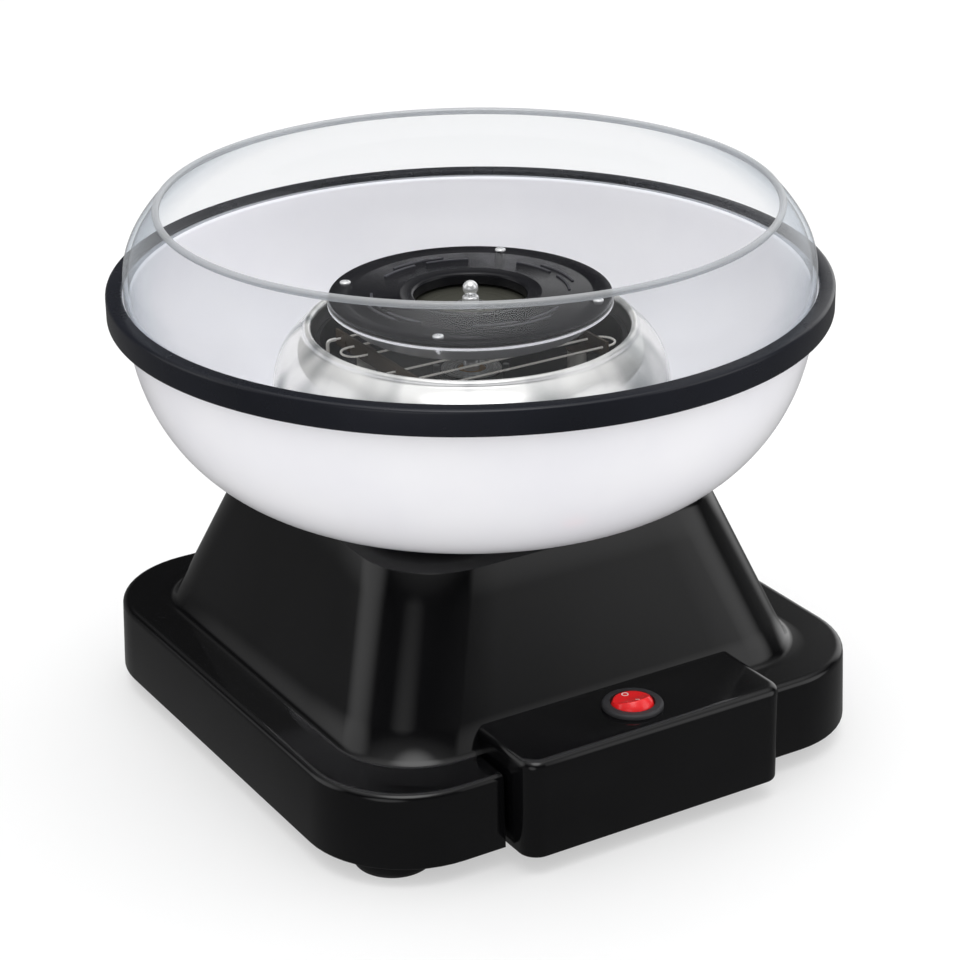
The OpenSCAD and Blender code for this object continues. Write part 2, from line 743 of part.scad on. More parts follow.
module bowl_gasket() {
    color([0.8, 0.8, 0.78]) tube(79, 73, ped_top_z + 0.05, bowl_z - ped_top_z - 0.1);
}

// Black ring clipped round the bowl's flange
module rim_ring() {
    t = 2.2;
    z0 = ring_top_z - ring_h;
    z1 = ring_top_z;
    color([0.06, 0.06, 0.07]) rotate_extrude($fn = 180) polygon(concat(
        [[bowl_r + 2, z0]],
        arc([ring_r - 1, z0 + 1], 1, -90, 0, 3), arc([ring_r - 1.2, z1 - 1.2], 1.2, 0, 90, 4),
        [[shield_r + 0.8, z1], [shield_r + 0.6, z1 - 0.2], [shield_r + 0.6, z1 - t], [ring_r - t, z1 - t],
         [ring_r - t, z0 + 2], [bowl_r + 2, z0 + 2]]));
}

guard_bead = [guard_rim_r - 1.7, guard_rim_z - 1.7];
foot_r0 = guard_rim_r + 18.5;
foot_r1 = guard_rim_r + 26;
foot_slope = 17;
foot_z = bowl_z + 4.8;
rivet_r = guard_rim_r + 22;

// Section of the spun guard's wall, moved in by t: round shoulder, long skirt
function guard_curve(t) = concat(
    bezier(guard_bead + 1.7 * [cos(12 + t * 37), -sin(12 + t * 37)],
        [guard_rim_r + 8 - t / 2, guard_rim_z - 6.5 - t],
        [guard_rim_r + 13 - t, guard_rim_z - 16 - t / 2], [guard_rim_r + 13.6 - t, guard_rim_z - 26], 10),
    bezier([guard_rim_r + 14 - t, guard_rim_z - 32], [guard_rim_r + 15 - t, guard_rim_z - 44],
        [guard_rim_r + 16 - t, guard_rim_z - 56], [foot_r0 - t / 2, foot_z - t], 6));

// Polished guard between the hot head and the bowl, with a rolled rim and a flared foot
module heat_guard() {
    foot_end = [foot_r1, foot_z + (foot_r1 - foot_r0) * tan(foot_slope)];
    color([0.82, 0.83, 0.84]) difference() {
        rotate_extrude($fn = 180) polygon(concat(guard_curve(0), [foot_end, foot_end - [0, 0.8]],
            reversed(guard_curve(0.8)), arc(guard_bead, 1.7, -66, -348, 12)));
        at_rivets() cylinder(r = 1.25, h = 10, center = true, $fn = 24);
    }
}

module at_rivets() {
    around(rivet_r, 4, 45) translate([0, 0, foot_z + (rivet_r - foot_r0) * tan(foot_slope)])
        rotate([0, -foot_slope, 0]) children();
}

module guard_rivets() {
    color([0.8, 0.8, 0.82]) at_rivets() {
        translate([0, 0, 0.06]) cylinder(r1 = 2.4, r2 = 1.4, h = 1.1, $fn = 32);
        translate([0, 0, -3.2]) cylinder(r = 1.2, h = 3.4, $fn = 24);
    }
}

// Clear wall that leans in to a beaded mouth
function shield_curve(t) = bezier([shield_r - t, 202], [shield_r - t, 213],
    [mouth_r + 8 - t, mouth_z - 10], [mouth_r - t, mouth_z - 1.2], 14);

module splash_shield() {
    z0 = bowl_rim_z + 0.1;
    color([0.9, 0.95, 1, 0.3]) rotate_extrude($fn = 180) polygon(concat(
        [[shield_r - shield_t, z0], [shield_r, z0]], shield_curve(0),
        arc([mouth_r - 1.5, mouth_z - 1.5], 1.5, 15, 165, 8),
        [[mouth_r - 3, mouth_z - 3]], reversed(shield_curve(shield_t))));
}

// ---- electrics and mains lead -----------------------------------------------------------

board_posts = [for (x = [-84, -40], y = [48, 76]) [x, y]];

module rectifier_board() {
    color([0.1, 0.35, 0.16]) translate([-88, 44, plate_top_z + 6.1]) cube([52, 36, 1.6]);
}

module board_parts() {
    z = plate_top_z + 7.8;
    color([0.1, 0.1, 0.12]) {
        translate([-74, 62, z]) cylinder(r = 7, h = 16);
        translate([-60, 52, z]) cube([4, 18, 12]);
        translate([-50, 50, z + 2.5]) rotate([-90, 0, 0]) cylinder(r = 2.2, h = 12, $fn = 32);
    }
}

module terminal_block() {
    color([0.88, 0.88, 0.84]) difference() {
        translate([56, 79, plate_top_z + 3.1]) cube([34, 14, 10]);
        for (i = [0:2]) translate([61 + i * 12, 70, plate_top_z + 7]) rotate([-90, 0, 0])
            cylinder(r = 2, h = 40, $fn = 24);
    }
}

module internal_wires() {
    z = plate_top_z + 7;
    switch_pins = [for (y = [6, 0, -6]) -switch_y + y];
    color([0.6, 0.1, 0.1]) {
        lead([[61, 82, z], [61, 66, z], [20, 60, 60], [lead_xy[1][0], 34.5, 98],
            [lead_xy[1][0], 34.5, 141.9]], 1.1);
        lead([[73, 82, z], [73, 20, 16], [12, -90, 20], [6, -110, 17], [0, switch_pins[0], 17],
            [0, switch_pins[0], 20.8]], 1.1);
        lead([[0, switch_pins[1], 20.8], [0, switch_pins[1], 16], [-8, -112, 16], [-12, -90, 18],
            [-66, -20, 16], [-70, 30, 15], [-70, 42.8, 16]], 1.1);
        lead([[0, switch_pins[2], 20.8], [0, switch_pins[2], 16], [-14, -124, 16], [-18, -90, 24],
            [-60, -60, 60], [lead_xy[0][0], -34.5, 98], [lead_xy[0][0], -34.5, 141.9]], 1.1);
        lead([[-44, 70, z + 1.8], [-44, 70, 26], [-40, 30, 36], [-14, 8, 36.5], [-14, 8, 38.9]], 0.9);
        lead([[-40, 74, z + 1.8], [-40, 74, 28], [-30, 34, 38], [14, 8, 36.5], [14, 8, 38.9]], 0.9);
        lead([[77, 103.1, 17], [77, 98, 17], [85, 98, 17], [85, 90, 17.5]], 0.9);
        lead([[75, 103.1, 19.5], [73, 96, 19.5], [73, 90, 18.5]], 0.9);
    }
}

module strain_relief() {
    color([0.05, 0.05, 0.05]) translate([cord_x, 0, cord_z]) rotate([-90, 0, 0]) difference() {
        rotate_extrude() polygon(concat([[0, outlet_y - 7], [7, outlet_y - 7],
            [7, outlet_y - wall - 0.1], [5, outlet_y - wall - 0.1], [5, outlet_y + 0.1],
            [7, outlet_y + 0.1], [7, outlet_y + 1.4]],
            [for (i = [0:2]) each [[6.1 - i * 0.5, outlet_y + 1.4 + i * 2.7],
                [6.1 - i * 0.5, outlet_y + 3.1 + i * 2.7], [4.9 - i * 0.2, outlet_y + 3.1 + i * 2.7],
                [4.9 - i * 0.2, outlet_y + 4.1 + i * 2.7]]],
            [[0, outlet_y + 9.5]]));
        translate([0, 0, outlet_y - 10]) cylinder(r = cord_r + 0.05, h = 40);
    }
}

turn_r = 6.5;
run_y = 144;
back_y = run_y - 2 * turn_r;
left_x = -45;
drop_r = 12;
drop_a = acos(1 - (cord_z - cord_r) / (2 * drop_r));
drop_x = cord_x - turn_r;
drop_end_x = drop_x - 2 * drop_r * sin(drop_a);
corner_c = base_w / 2 - base_r;
corner_r = back_y - corner_c;
side_x = corner_c + corner_r;
side_y = 30;
jog = 8.2;
jog_r = 16;
jog_a = acos(1 - jog / (2 * jog_r));
jog_end_y = side_y - 2 * jog_r * sin(jog_a);
plug_x = side_x + jog;
plug_y = jog_end_y - 4;
plug_z = 6.2;
plug_len = 27;
blade_len = 17;

function level(points, z) = [for (p = points) [p[0], p[1], z]];

// Path of the cord: out of the base, down to the table, folded once and round the corner
cord_path = concat(
    [[cord_x, 107, cord_z]],
    level(arc([drop_x, run_y - turn_r], turn_r, 0, 90, 4), cord_z),
    [for (p = arc([drop_x, cord_z - drop_r], drop_r, 90, 90 + drop_a, 3)) [p[0], run_y, p[1]]],
    [for (p = arc([drop_end_x, cord_r + drop_r], drop_r, drop_a - 90, -90, 3)) [p[0], run_y, p[1]]],
    level(concat(arc([left_x, run_y - turn_r], turn_r, 90, 270, 6),
        arc([corner_c, corner_c], corner_r, 90, 0, 8),
        arc([side_x + jog_r, side_y], jog_r, 180, 180 + jog_a, 2),
        arc([plug_x - jog_r, jog_end_y], jog_r, jog_a, 0, 2),
        [[plug_x, plug_y]]), cord_r));

module power_cord() {
    color([0.05, 0.05, 0.05]) lead(cord_path, cord_r, 8);
}

// Flat two-blade plug moulded on the end of the cord
module plug_body() {
    color([0.05, 0.05, 0.05]) translate([plug_x, plug_y, 0]) difference() {
        hull() {
            translate([0, -6, plug_z]) rotate([-90, 0, 0]) cylinder(r = 4.6, h = 6, $fn = HULL_FN);
            for (x = [-5.2, 5.2]) translate([x, -plug_len, plug_z]) rotate([-90, 0, 0])
                cylinder(r = 5.4, h = plug_len - 9, $fn = HULL_FN);
            translate([-4, -plug_len, 0.4]) cube([8, plug_len - 9, 2]);
        }
        translate([0, -3.2, cord_r]) rotate([-90, 0, 0]) cylinder(r = cord_r + 0.02, h = 8);
        for (x = [-6.35, 6.35]) translate([x - 0.78, -plug_len - 1, plug_z - 3.2])
            cube([1.56, 9.05, 6.4]);
    }
}

module plug_blades() {
    color([0.8, 0.78, 0.7]) for (x = [-6.35, 6.35])
        translate([plug_x + x - 0.76, plug_y - plug_len - blade_len, plug_z - 3.175]) difference() {
            cube([1.52, blade_len + 8, 6.35]);
            translate([-1, 4, 3.175]) rotate([0, 90, 0]) cylinder(r = 1.6, h = 4, $fn = 24);
        }
}

housing();
base_plate();
suction_feet();
base_screws();
control_box();
switch_body();
switch_terminals();
rocker();
rocker_pin();
rocker_plunger();
contact_lever();
motor_can();
motor_end_cap();
field_magnets();
carbon_brushes();
brush_holders();
motor_bushes();
motor_shaft();
armature_core();
armature_windings();
commutator();
cooling_fan();
motor_bracket();
rubber_grommets();
motor_screws();
bracket_screws();
shaft_coupling();
coupling_screws();
spindle();
drive_pin();
bearing_housing();
spindle_bush();
heater_tower();
tower_screws();
heater_pan();
pan_screws();
ceramic_posts();
mica_rails();
heater_coils();
thermal_fuse();
head_plate();
head_pan();
floss_band();
head_hub();
head_screws();
bowl();
bowl_gasket();
rim_ring();
heat_guard();
guard_rivets();
splash_shield();
terminal_block();
rectifier_board();
board_parts();
internal_wires();
strain_relief();
power_cord();
plug_body();
plug_blades();
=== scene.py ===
"""Looks of the cotton candy machine: smooth shells and materials round the CAD frame."""
import json
import math

import bmesh
import bpy
from mathutils import Matrix, Vector


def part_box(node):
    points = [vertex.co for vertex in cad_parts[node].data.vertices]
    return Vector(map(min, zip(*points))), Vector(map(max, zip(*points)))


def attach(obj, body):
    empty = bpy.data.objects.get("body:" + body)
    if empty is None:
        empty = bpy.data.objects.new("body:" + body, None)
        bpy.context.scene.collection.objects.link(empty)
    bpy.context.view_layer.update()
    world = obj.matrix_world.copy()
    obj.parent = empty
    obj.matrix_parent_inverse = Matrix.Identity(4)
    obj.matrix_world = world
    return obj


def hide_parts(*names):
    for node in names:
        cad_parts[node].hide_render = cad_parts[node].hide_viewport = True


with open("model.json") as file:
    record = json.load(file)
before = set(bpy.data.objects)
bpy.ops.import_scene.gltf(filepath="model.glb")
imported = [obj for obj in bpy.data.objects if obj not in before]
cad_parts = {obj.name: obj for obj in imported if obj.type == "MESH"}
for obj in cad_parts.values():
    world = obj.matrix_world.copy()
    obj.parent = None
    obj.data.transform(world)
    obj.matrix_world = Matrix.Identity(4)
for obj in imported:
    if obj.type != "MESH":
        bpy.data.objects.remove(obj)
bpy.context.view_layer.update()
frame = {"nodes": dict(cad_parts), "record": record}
nodes = frame["nodes"]
MM = 0.001

# ---- sizes, in millimetres, measured from the frame where a node gives them --------------------


def low(node):
    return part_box(node)[0] / MM


def high(node):
    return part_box(node)[1] / MM


# Base: half widths, corner radii and levels of the rim, the pedestal and the collar.
BASE_HALF = high("housing").x
BASE_R = 45
FOOT_TOP = low("housing").z
FOOT_CUP_R = 16.2
BASE_TOP = FOOT_TOP + 32.4
PED_FOOT, PED_FOOT_R = 106.2, 34
PED_TOP, PED_TOP_R = 80.5, 33
DECK_TOP = 110
COLLAR_R = 69.4
COLLAR_TOP = high("housing").z
WALL = 2.6

# Control box, the recess that it sits in, and the rocker's pivot and tilt at OFF.
BOX_HALF = high("control_box").x
BOX_FRONT = -low("control_box").y
BOX_TOP = high("control_box").z
NOTCH_X = BOX_HALF + 2.0
SWITCH_Y = (low("switch_body").y + high("switch_body").y) / 2
PIVOT_Z = (low("rocker_pin").z + high("rocker_pin").z) / 2
REST_TILT = math.radians(11)

# Bowl with its ring, the shield up to its mouth, and the heat guard.
RING_R = 150
RING_LOW = low("rim_ring").z
RING_TOP = high("rim_ring").z
BOWL_R = 142
BOWL_LOW = low("bowl").z
BOWL_TOP = high("bowl").z
SHIELD_R = 142.6
SHIELD_LOW = low("splash_shield").z
MOUTH_R = 129.1
MOUTH_Z = high("splash_shield").z
GUARD_R = 70
GUARD_TOP = high("heat_guard").z
GUARD_FOOT_UP = 4.8

# Sugar head, spindle, and the two posts that feed the heater.
HEAD_R = 59
HEAD_TOP = 189.5
WELL_R = 23.5
WELL_FLOOR = HEAD_TOP - 6.2
SPINDLE_R = high("spindle").x
TIP_Z = high("spindle").z
POST_X, POST_Y, POST_LOW = -49.5, 34.5, 98
COIL_RUNS = [-POST_Y, -23, -11.5, 11.5, 23, POST_Y]

# ---- materials ---------------------------------------------------------------------------------


class Paint:
    """A principled material with small helpers for noise, bump and roughness."""

    def __init__(self, name, color, roughness=0.5, metallic=0.0, **extra):
        self.mat = bpy.data.materials.new(name)
        self.mat.use_nodes = True
        self.tree = self.mat.node_tree
        self.shader = self.tree.nodes["Principled BSDF"]
        self.set("Base Color", (*color, 1))
        self.set("Roughness", roughness)
        self.set("Metallic", metallic)
        for key, value in extra.items():
            self.set(key.replace("_", " "), value)
        self.coords = self.tree.nodes.new("ShaderNodeTexCoord").outputs["Object"]

    def set(self, name, value):
        self.shader.inputs[name].default_value = value

    def link(self, out, inp):
        self.tree.links.new(out, inp)

    def node(self, kind, **values):
        made = self.tree.nodes.new(kind)
        for key, value in values.items():
            if hasattr(made, key):
                setattr(made, key, value)
            else:
                made.inputs[key.replace("_", " ")].default_value = value
        return made

    def stretched(self, scale):
        mapping = self.node("ShaderNodeMapping")
        mapping.inputs["Scale"].default_value = scale
        self.link(self.coords, mapping.inputs["Vector"])
        return mapping.outputs["Vector"]

    def noise(self, scale, detail=3.0, stretch=None):
        made = self.node("ShaderNodeTexNoise", Scale=scale, Detail=detail)
        self.link(self.stretched(stretch) if stretch else self.coords, made.inputs["Vector"])
        return made.outputs["Fac"]

    def spread(self, fac, lo, hi, start=0.3, stop=0.7):
        """Maps a 0..1 value to lo..hi."""
        made = self.node("ShaderNodeMapRange")
        made.inputs["From Min"].default_value = start
        made.inputs["From Max"].default_value = stop
        made.inputs["To Min"].default_value = lo
        made.inputs["To Max"].default_value = hi
        self.link(fac, made.inputs["Value"])
        return made.outputs["Result"]

    def vary_color(self, fac, dark, light):
        made = self.node("ShaderNodeValToRGB")
        made.color_ramp.elements[0].color = (*dark, 1)
        made.color_ramp.elements[1].color = (*light, 1)
        made.color_ramp.elements[0].position = 0.35
        made.color_ramp.elements[1].position = 0.65
        self.link(fac, made.inputs["Fac"])
        self.link(made.outputs["Color"], self.shader.inputs["Base Color"])
        return self

    def vary_roughness(self, fac, lo, hi):
        self.link(self.spread(fac, lo, hi), self.shader.inputs["Roughness"])
        return self

    def bump(self, fac, distance, strength=0.4):
        made = self.node("ShaderNodeBump", Strength=strength, Distance=distance)
        self.link(fac, made.inputs["Height"])
        self.link(made.outputs["Normal"], self.shader.inputs["Normal"])
        return self


def split_axes(paint, vector):
    made = paint.node("ShaderNodeSeparateXYZ")
    paint.link(vector, made.inputs["Vector"])
    return made.outputs


def joined_axes(paint, **outputs):
    made = paint.node("ShaderNodeCombineXYZ")
    for axis, out in outputs.items():
        paint.link(out, made.inputs[axis])
    return made.outputs["Vector"]


def from_axis(paint, operation):
    """LENGTH gives the distance from the spindle axis, NORMALIZE the heading away from it."""
    axes = split_axes(paint, paint.coords)
    made = paint.node("ShaderNodeVectorMath", operation=operation)
    paint.link(joined_axes(paint, X=axes["X"], Y=axes["Y"]), made.inputs[0])
    return made.outputs, axes["Z"]


def polar(paint):
    """Distance from the spindle axis and height, for turned and spun marks."""
    outputs, height = from_axis(paint, "LENGTH")
    return joined_axes(paint, X=outputs["Value"], Y=height)


def spun_marks(paint, scale):
    made = paint.node("ShaderNodeTexNoise", Scale=scale, Detail=2.0)
    paint.link(polar(paint), made.inputs["Vector"])
    return made.outputs["Fac"]


def moulded(name, dark, light, rough_lo, rough_hi, grain=900, depth=0.00002, **extra):
    paint = Paint(name, light, rough_lo, **extra)
    paint.vary_color(paint.noise(18), dark, light)
    paint.vary_roughness(paint.noise(60, 5), rough_lo, rough_hi)
    paint.bump(paint.noise(grain, 4), depth, 0.25)
    return paint.mat


def metal(name, dark, light, rough_lo, rough_hi, stretch=(1, 1, 12), scale=160):
    paint = Paint(name, light, rough_lo, 1.0)
    marks = paint.noise(scale, 6, stretch)
    paint.vary_color(marks, dark, light)
    paint.vary_roughness(marks, rough_lo, rough_hi)
    paint.bump(marks, 0.00003, 0.3)
    return paint.mat


def turned(name, dark, light, rough_lo, rough_hi, scale=1400, depth=0.00003, metallic=1.0):
    paint = Paint(name, light, rough_lo, metallic)
    marks = spun_marks(paint, scale)
    paint.vary_color(paint.noise(30, 4), dark, light)
    paint.vary_roughness(marks, rough_lo, rough_hi)
    paint.bump(marks, depth, 0.25)
    return paint.mat


def clear_plastic(name, straight, middle, grazing, shine_lo, shine_hi, veil):
    """See-through plastic: tinted more, and shining more, the more it is seen edge-on."""
    paint = Paint(name, straight, 0.03)
    facing = paint.node("ShaderNodeLayerWeight", Blend=0.5).outputs["Facing"]
    tint = paint.node("ShaderNodeValToRGB")
    ramp = tint.color_ramp
    ramp.elements[0].position, ramp.elements[0].color = 0.5, (*straight, 1)
    ramp.elements[1].position, ramp.elements[1].color = 1.0, (*grazing, 1)
    ramp.elements.new(0.86).color = (*middle, 1)
    paint.link(facing, tint.inputs["Fac"])
    through = paint.node("ShaderNodeBsdfTransparent")
    paint.link(tint.outputs["Color"], through.inputs["Color"])
    glossy = paint.node("ShaderNodeBsdfGlossy")
    paint.link(paint.spread(paint.noise(45, 5), 0.015, 0.06), glossy.inputs["Roughness"])
    bump = paint.node("ShaderNodeBump", Strength=0.15, Distance=0.00003)
    paint.link(paint.noise(80, 3), bump.inputs["Height"])
    paint.link(bump.outputs["Normal"], glossy.inputs["Normal"])
    haze = paint.node("ShaderNodeBsdfDiffuse", Color=(0.95, 0.96, 0.97, 1))
    surface = paint.node("ShaderNodeMixShader", Fac=veil)
    paint.link(glossy.outputs["BSDF"], surface.inputs[1])
    paint.link(haze.outputs["BSDF"], surface.inputs[2])
    steep = paint.node("ShaderNodeMath", operation="POWER")
    paint.link(facing, steep.inputs[0])
    steep.inputs[1].default_value = 4.0
    mix = paint.node("ShaderNodeMixShader")
    shine = paint.spread(steep.outputs["Value"], shine_lo, shine_hi, 0.0, 1.0)
    paint.link(shine, mix.inputs["Fac"])
    paint.link(through.outputs["BSDF"], mix.inputs[1])
    paint.link(surface.outputs["Shader"], mix.inputs[2])
    paint.tree.nodes.remove(paint.shader)
    paint.link(mix.outputs["Shader"], paint.tree.nodes["Material Output"].inputs["Surface"])
    return paint.mat


def dark_centre(name, inner, outer, edge):
    """Turned metal that is stained dark inside the radius edge and bright outside it."""
    paint = Paint(name, outer, 0.3, 0.8)
    distance = split_axes(paint, polar(paint))["X"]
    soft = 0.004
    paint.vary_color(paint.spread(distance, 0.0, 1.0, edge - soft, edge + soft), inner, outer)
    paint.vary_roughness(spun_marks(paint, 1400), 0.25, 0.4)
    paint.bump(spun_marks(paint, 1400), 0.00003, 0.25)
    return paint.mat


def chrome_with_painted_bands(name, dark, light, bands):
    """Polished sheet with painted reflections: broad light and dark bands down its wall in its
    colour, and a painted highlight that lightens it towards the top.
    """
    paint = Paint(name, light, 0.07, 0.5)
    outputs, height = from_axis(paint, "NORMALIZE")
    ends = split_axes(paint, outputs["Vector"])
    shift = paint.spread(height, 0.0, 0.55, 0.12, 0.18)
    noise = paint.node("ShaderNodeTexNoise", Scale=bands, Detail=1.5)
    paint.link(joined_axes(paint, X=ends["X"], Y=ends["Y"], Z=shift), noise.inputs["Vector"])
    # Painted reflection and painted highlight: band noise plus a rise with height sets the colour,
    # so the wall is banded and lighter towards the top.
    painted_reflection_fac = paint.node("ShaderNodeMath", operation="ADD")
    paint.link(noise.outputs["Fac"], painted_reflection_fac.inputs[0])
    paint.link(paint.spread(height, -0.13, 0.13, 0.135, 0.168), painted_reflection_fac.inputs[1])
    paint.vary_color(painted_reflection_fac.outputs["Value"], dark, light)
    paint.vary_roughness(spun_marks(paint, 700), 0.05, 0.14)
    paint.bump(spun_marks(paint, 700), 0.00002, 0.25)
    return paint.mat


MATERIALS = {
    "gloss_black": moulded("gloss_black", (0.0015, 0.0015, 0.0018), (0.0028, 0.0028, 0.0032),
                           0.06, 0.1, 500, 0.00001, Specular_IOR_Level=0.5),
    "matt_black": moulded("matt_black", (0.02, 0.02, 0.022), (0.032, 0.032, 0.035), 0.45, 0.6),
    "ring_black": moulded("ring_black", (0.006, 0.007, 0.011), (0.01, 0.011, 0.016), 0.2, 0.3, 900,
                          0.00002, Specular_IOR_Level=0.4),
    "head_black": moulded("head_black", (0.004, 0.004, 0.0055), (0.007, 0.007, 0.009), 0.16, 0.26,
                          1400, 0.00003, Specular_IOR_Level=0.3),
    # Painted glow: the rocker gets a faint red emission, though it holds no lamp and is shown
    # switched off.
    "rocker_red": moulded("rocker_red", (0.6, 0.006, 0.01), (0.76, 0.012, 0.018), 0.16, 0.26,
                          700, 0.00001, Coat_Weight=0.5, Coat_Roughness=0.05,
                          Emission_Color=(1, 0.03, 0.02, 1), Emission_Strength=0.12),
    "bowl_white": moulded("bowl_white", (0.885, 0.88, 0.92), (0.92, 0.915, 0.945), 0.16, 0.24, 300,
                          0.00002, Coat_Weight=0.2, Coat_Roughness=0.08),
    "nylon": moulded("nylon", (0.74, 0.73, 0.68), (0.82, 0.81, 0.77), 0.4, 0.5),
    "clear": clear_plastic("clear_plastic", (0.93, 0.934, 0.94), (0.76, 0.79, 0.82),
                           (0.2, 0.22, 0.25), 0.026, 0.5, 0.45),
    "clear_edge": clear_plastic("clear_edge", (0.6, 0.62, 0.64), (0.42, 0.44, 0.47),
                                (0.14, 0.15, 0.17), 0.3, 0.5, 0.75),
    # The guard's light and dark bands and its lighter top are painted reflections and a painted
    # highlight in its colour.
    "guard_chrome": chrome_with_painted_bands("guard_chrome", (0.05, 0.08, 0.09), (0.95, 0.94, 0.915), 3.0),
    "bright_steel": turned("bright_steel", (0.82, 0.83, 0.84), (0.93, 0.93, 0.94), 0.08, 0.16, 700,
                           0.00001, metallic=0.6),
    "pan_dark": metal("pan_dark", (0.03, 0.032, 0.036), (0.07, 0.07, 0.075), 0.42, 0.6),
    "well_dark": dark_centre("well_dark", (0.17, 0.17, 0.14), (0.88, 0.88, 0.89), 0.05),
    # Painted sheen: the raised marks are lighter than the black plate they stand on, for the light
    # their edges catch.
    "mark_relief": moulded("mark_relief", (0.03, 0.03, 0.035), (0.06, 0.06, 0.07), 0.25, 0.4),
    "mirror_steel": turned("mirror_steel", (0.74, 0.75, 0.76), (0.86, 0.87, 0.88), 0.06, 0.16,
                           700, 0.00002),
    "steel": metal("steel", (0.5, 0.51, 0.53), (0.66, 0.67, 0.69), 0.26, 0.42),
    "aluminium": turned("aluminium", (0.62, 0.63, 0.64), (0.78, 0.79, 0.8), 0.22, 0.36),
    "bronze": metal("bronze", (0.42, 0.26, 0.11), (0.58, 0.38, 0.18), 0.35, 0.5),
    "brass": metal("brass", (0.6, 0.45, 0.17), (0.78, 0.6, 0.26), 0.2, 0.34),
    "copper": metal("copper", (0.5, 0.2, 0.09), (0.72, 0.33, 0.17), 0.2, 0.38, (1, 1, 60), 220),
    "carbon": moulded("carbon", (0.03, 0.03, 0.033), (0.06, 0.06, 0.065), 0.55, 0.75, 1500, 0.00005),
    "ceramic": moulded("ceramic", (0.74, 0.71, 0.64), (0.86, 0.84, 0.79), 0.5, 0.65, 1200, 0.00005),
    "mica": moulded("mica", (0.03, 0.022, 0.014), (0.09, 0.06, 0.035), 0.25, 0.5, 260, 0.00006),
    # Painted glow: the cold heater wire gets a faint white emission that stands for the glints along
    # it.
    "heater_wire": moulded("heater_wire", (0.74, 0.72, 0.68), (0.95, 0.94, 0.92), 0.25, 0.4, 900,
                           0.00002, Metallic=0.25, Emission_Color=(1, 0.96, 0.9, 1),
                           Emission_Strength=0.14),
    "rubber_black": moulded("rubber_black", (0.008, 0.008, 0.009), (0.016, 0.016, 0.017), 0.42, 0.6,
                            1100, 0.00004),
    "board_green": moulded("board_green", (0.02, 0.12, 0.05), (0.04, 0.2, 0.08), 0.3, 0.45, 400),
    "wire_red": moulded("wire_red", (0.42, 0.03, 0.02), (0.6, 0.06, 0.04), 0.35, 0.5),
}
# CAD nodes that stay in the picture and look darker than the rest of their slot.
DARKENED = {"heater_pan": "pan_dark", "head_pan": "well_dark", "heater_tower": "pan_dark"}
SLOT_OF = {part["node"]: part["material_slot"] for part in frame["record"]["subparts"]}

# ---- mesh helpers ------------------------------------------------------------------------------


def make(name, verts, faces, slot, body, *replaced, smooth=40):
    """Makes a piece from points in millimetres, gives it its material and body, and hides the CAD
    nodes that it replaces.
    """
    mesh = bpy.data.meshes.new(name)
    mesh.from_pydata([tuple(c * MM for c in v) for v in verts], [], faces)
    mesh.validate()
    work = bmesh.new()
    work.from_mesh(mesh)
    bmesh.ops.remove_doubles(work, verts=work.verts, dist=1e-7)
    bmesh.ops.recalc_face_normals(work, faces=work.faces)
    work.to_mesh(mesh)
    work.free()
    piece = bpy.data.objects.new(name, mesh)
    bpy.context.scene.collection.objects.link(piece)
    mesh.shade_smooth()
    mesh.set_sharp_from_angle(angle=math.radians(smooth))
    mesh.materials.append(MATERIALS[slot])
    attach(piece, body)
    if replaced:
        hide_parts(*replaced)
    return piece


def fillet(cx, cz, r, start, stop, steps=6):
    """Round stretch of a section: centre, radius and angles in degrees."""
    turns = [math.radians(start + (stop - start) * i / steps) for i in range(steps + 1)]
    return [(cx + r * math.cos(a), cz + r * math.sin(a)) for a in turns]


def bezier(a, b, c, d, steps):
    """Cubic curve from a to d, pulled towards b and c."""
    points = []
    for i in range(steps + 1):
        t = i / steps
        s = 1 - t
        points.append(tuple(s ** 3 * a[k] + 3 * s * s * t * b[k] + 3 * s * t * t * c[k]
                            + t ** 3 * d[k] for k in (0, 1)))
    return points


def revolve(section, count=192, centre=(0, 0)):
    """Turns a closed section of (radius, height) points about an upright axis."""
    verts, faces = [], []
    rows = len(section)
    for i in range(count):
        a = 2 * math.pi * i / count
        for r, z in section:
            verts.append((centre[0] + r * math.cos(a), centre[1] + r * math.sin(a), z))
    for i in range(count):
        j = (i + 1) % count
        for k in range(rows):
            m = (k + 1) % rows
            faces.append([i * rows + k, j * rows + k, j * rows + m, i * rows + m])
    return verts, faces


def loft(rows, cap=True):
    """Skins closed rows of points and caps the first and the last one, unless cap is off."""
    verts = [p for row in rows for p in row]
    n = len(rows[0])
    faces = []
    for k in range(len(rows) - 1):
        for i in range(n):
            j = (i + 1) % n
            faces.append([k * n + i, k * n + j, (k + 1) * n + j, (k + 1) * n + i])
    if cap:
        faces.append(list(range(n))[::-1])
        faces.append([(len(rows) - 1) * n + i for i in range(n)])
    return verts, faces


def tube(path, r, sides=14):
    """Sweeps a circle along a path without twisting."""
    points = [Vector(p) for p in path]
    rows = []
    side = None
    for i, p in enumerate(points):
        ahead = points[min(i + 1, len(points) - 1)] - points[max(i - 1, 0)]
        ahead.normalize()
        if side is None:
            side = ahead.orthogonal().normalized()
        side = (side - ahead * side.dot(ahead)).normalized()
        up = ahead.cross(side)
        rows.append([tuple(p + (side * math.cos(a) + up * math.sin(a)) * r)
                     for a in (2 * math.pi * s / sides for s in range(sides))])
    return loft(rows)


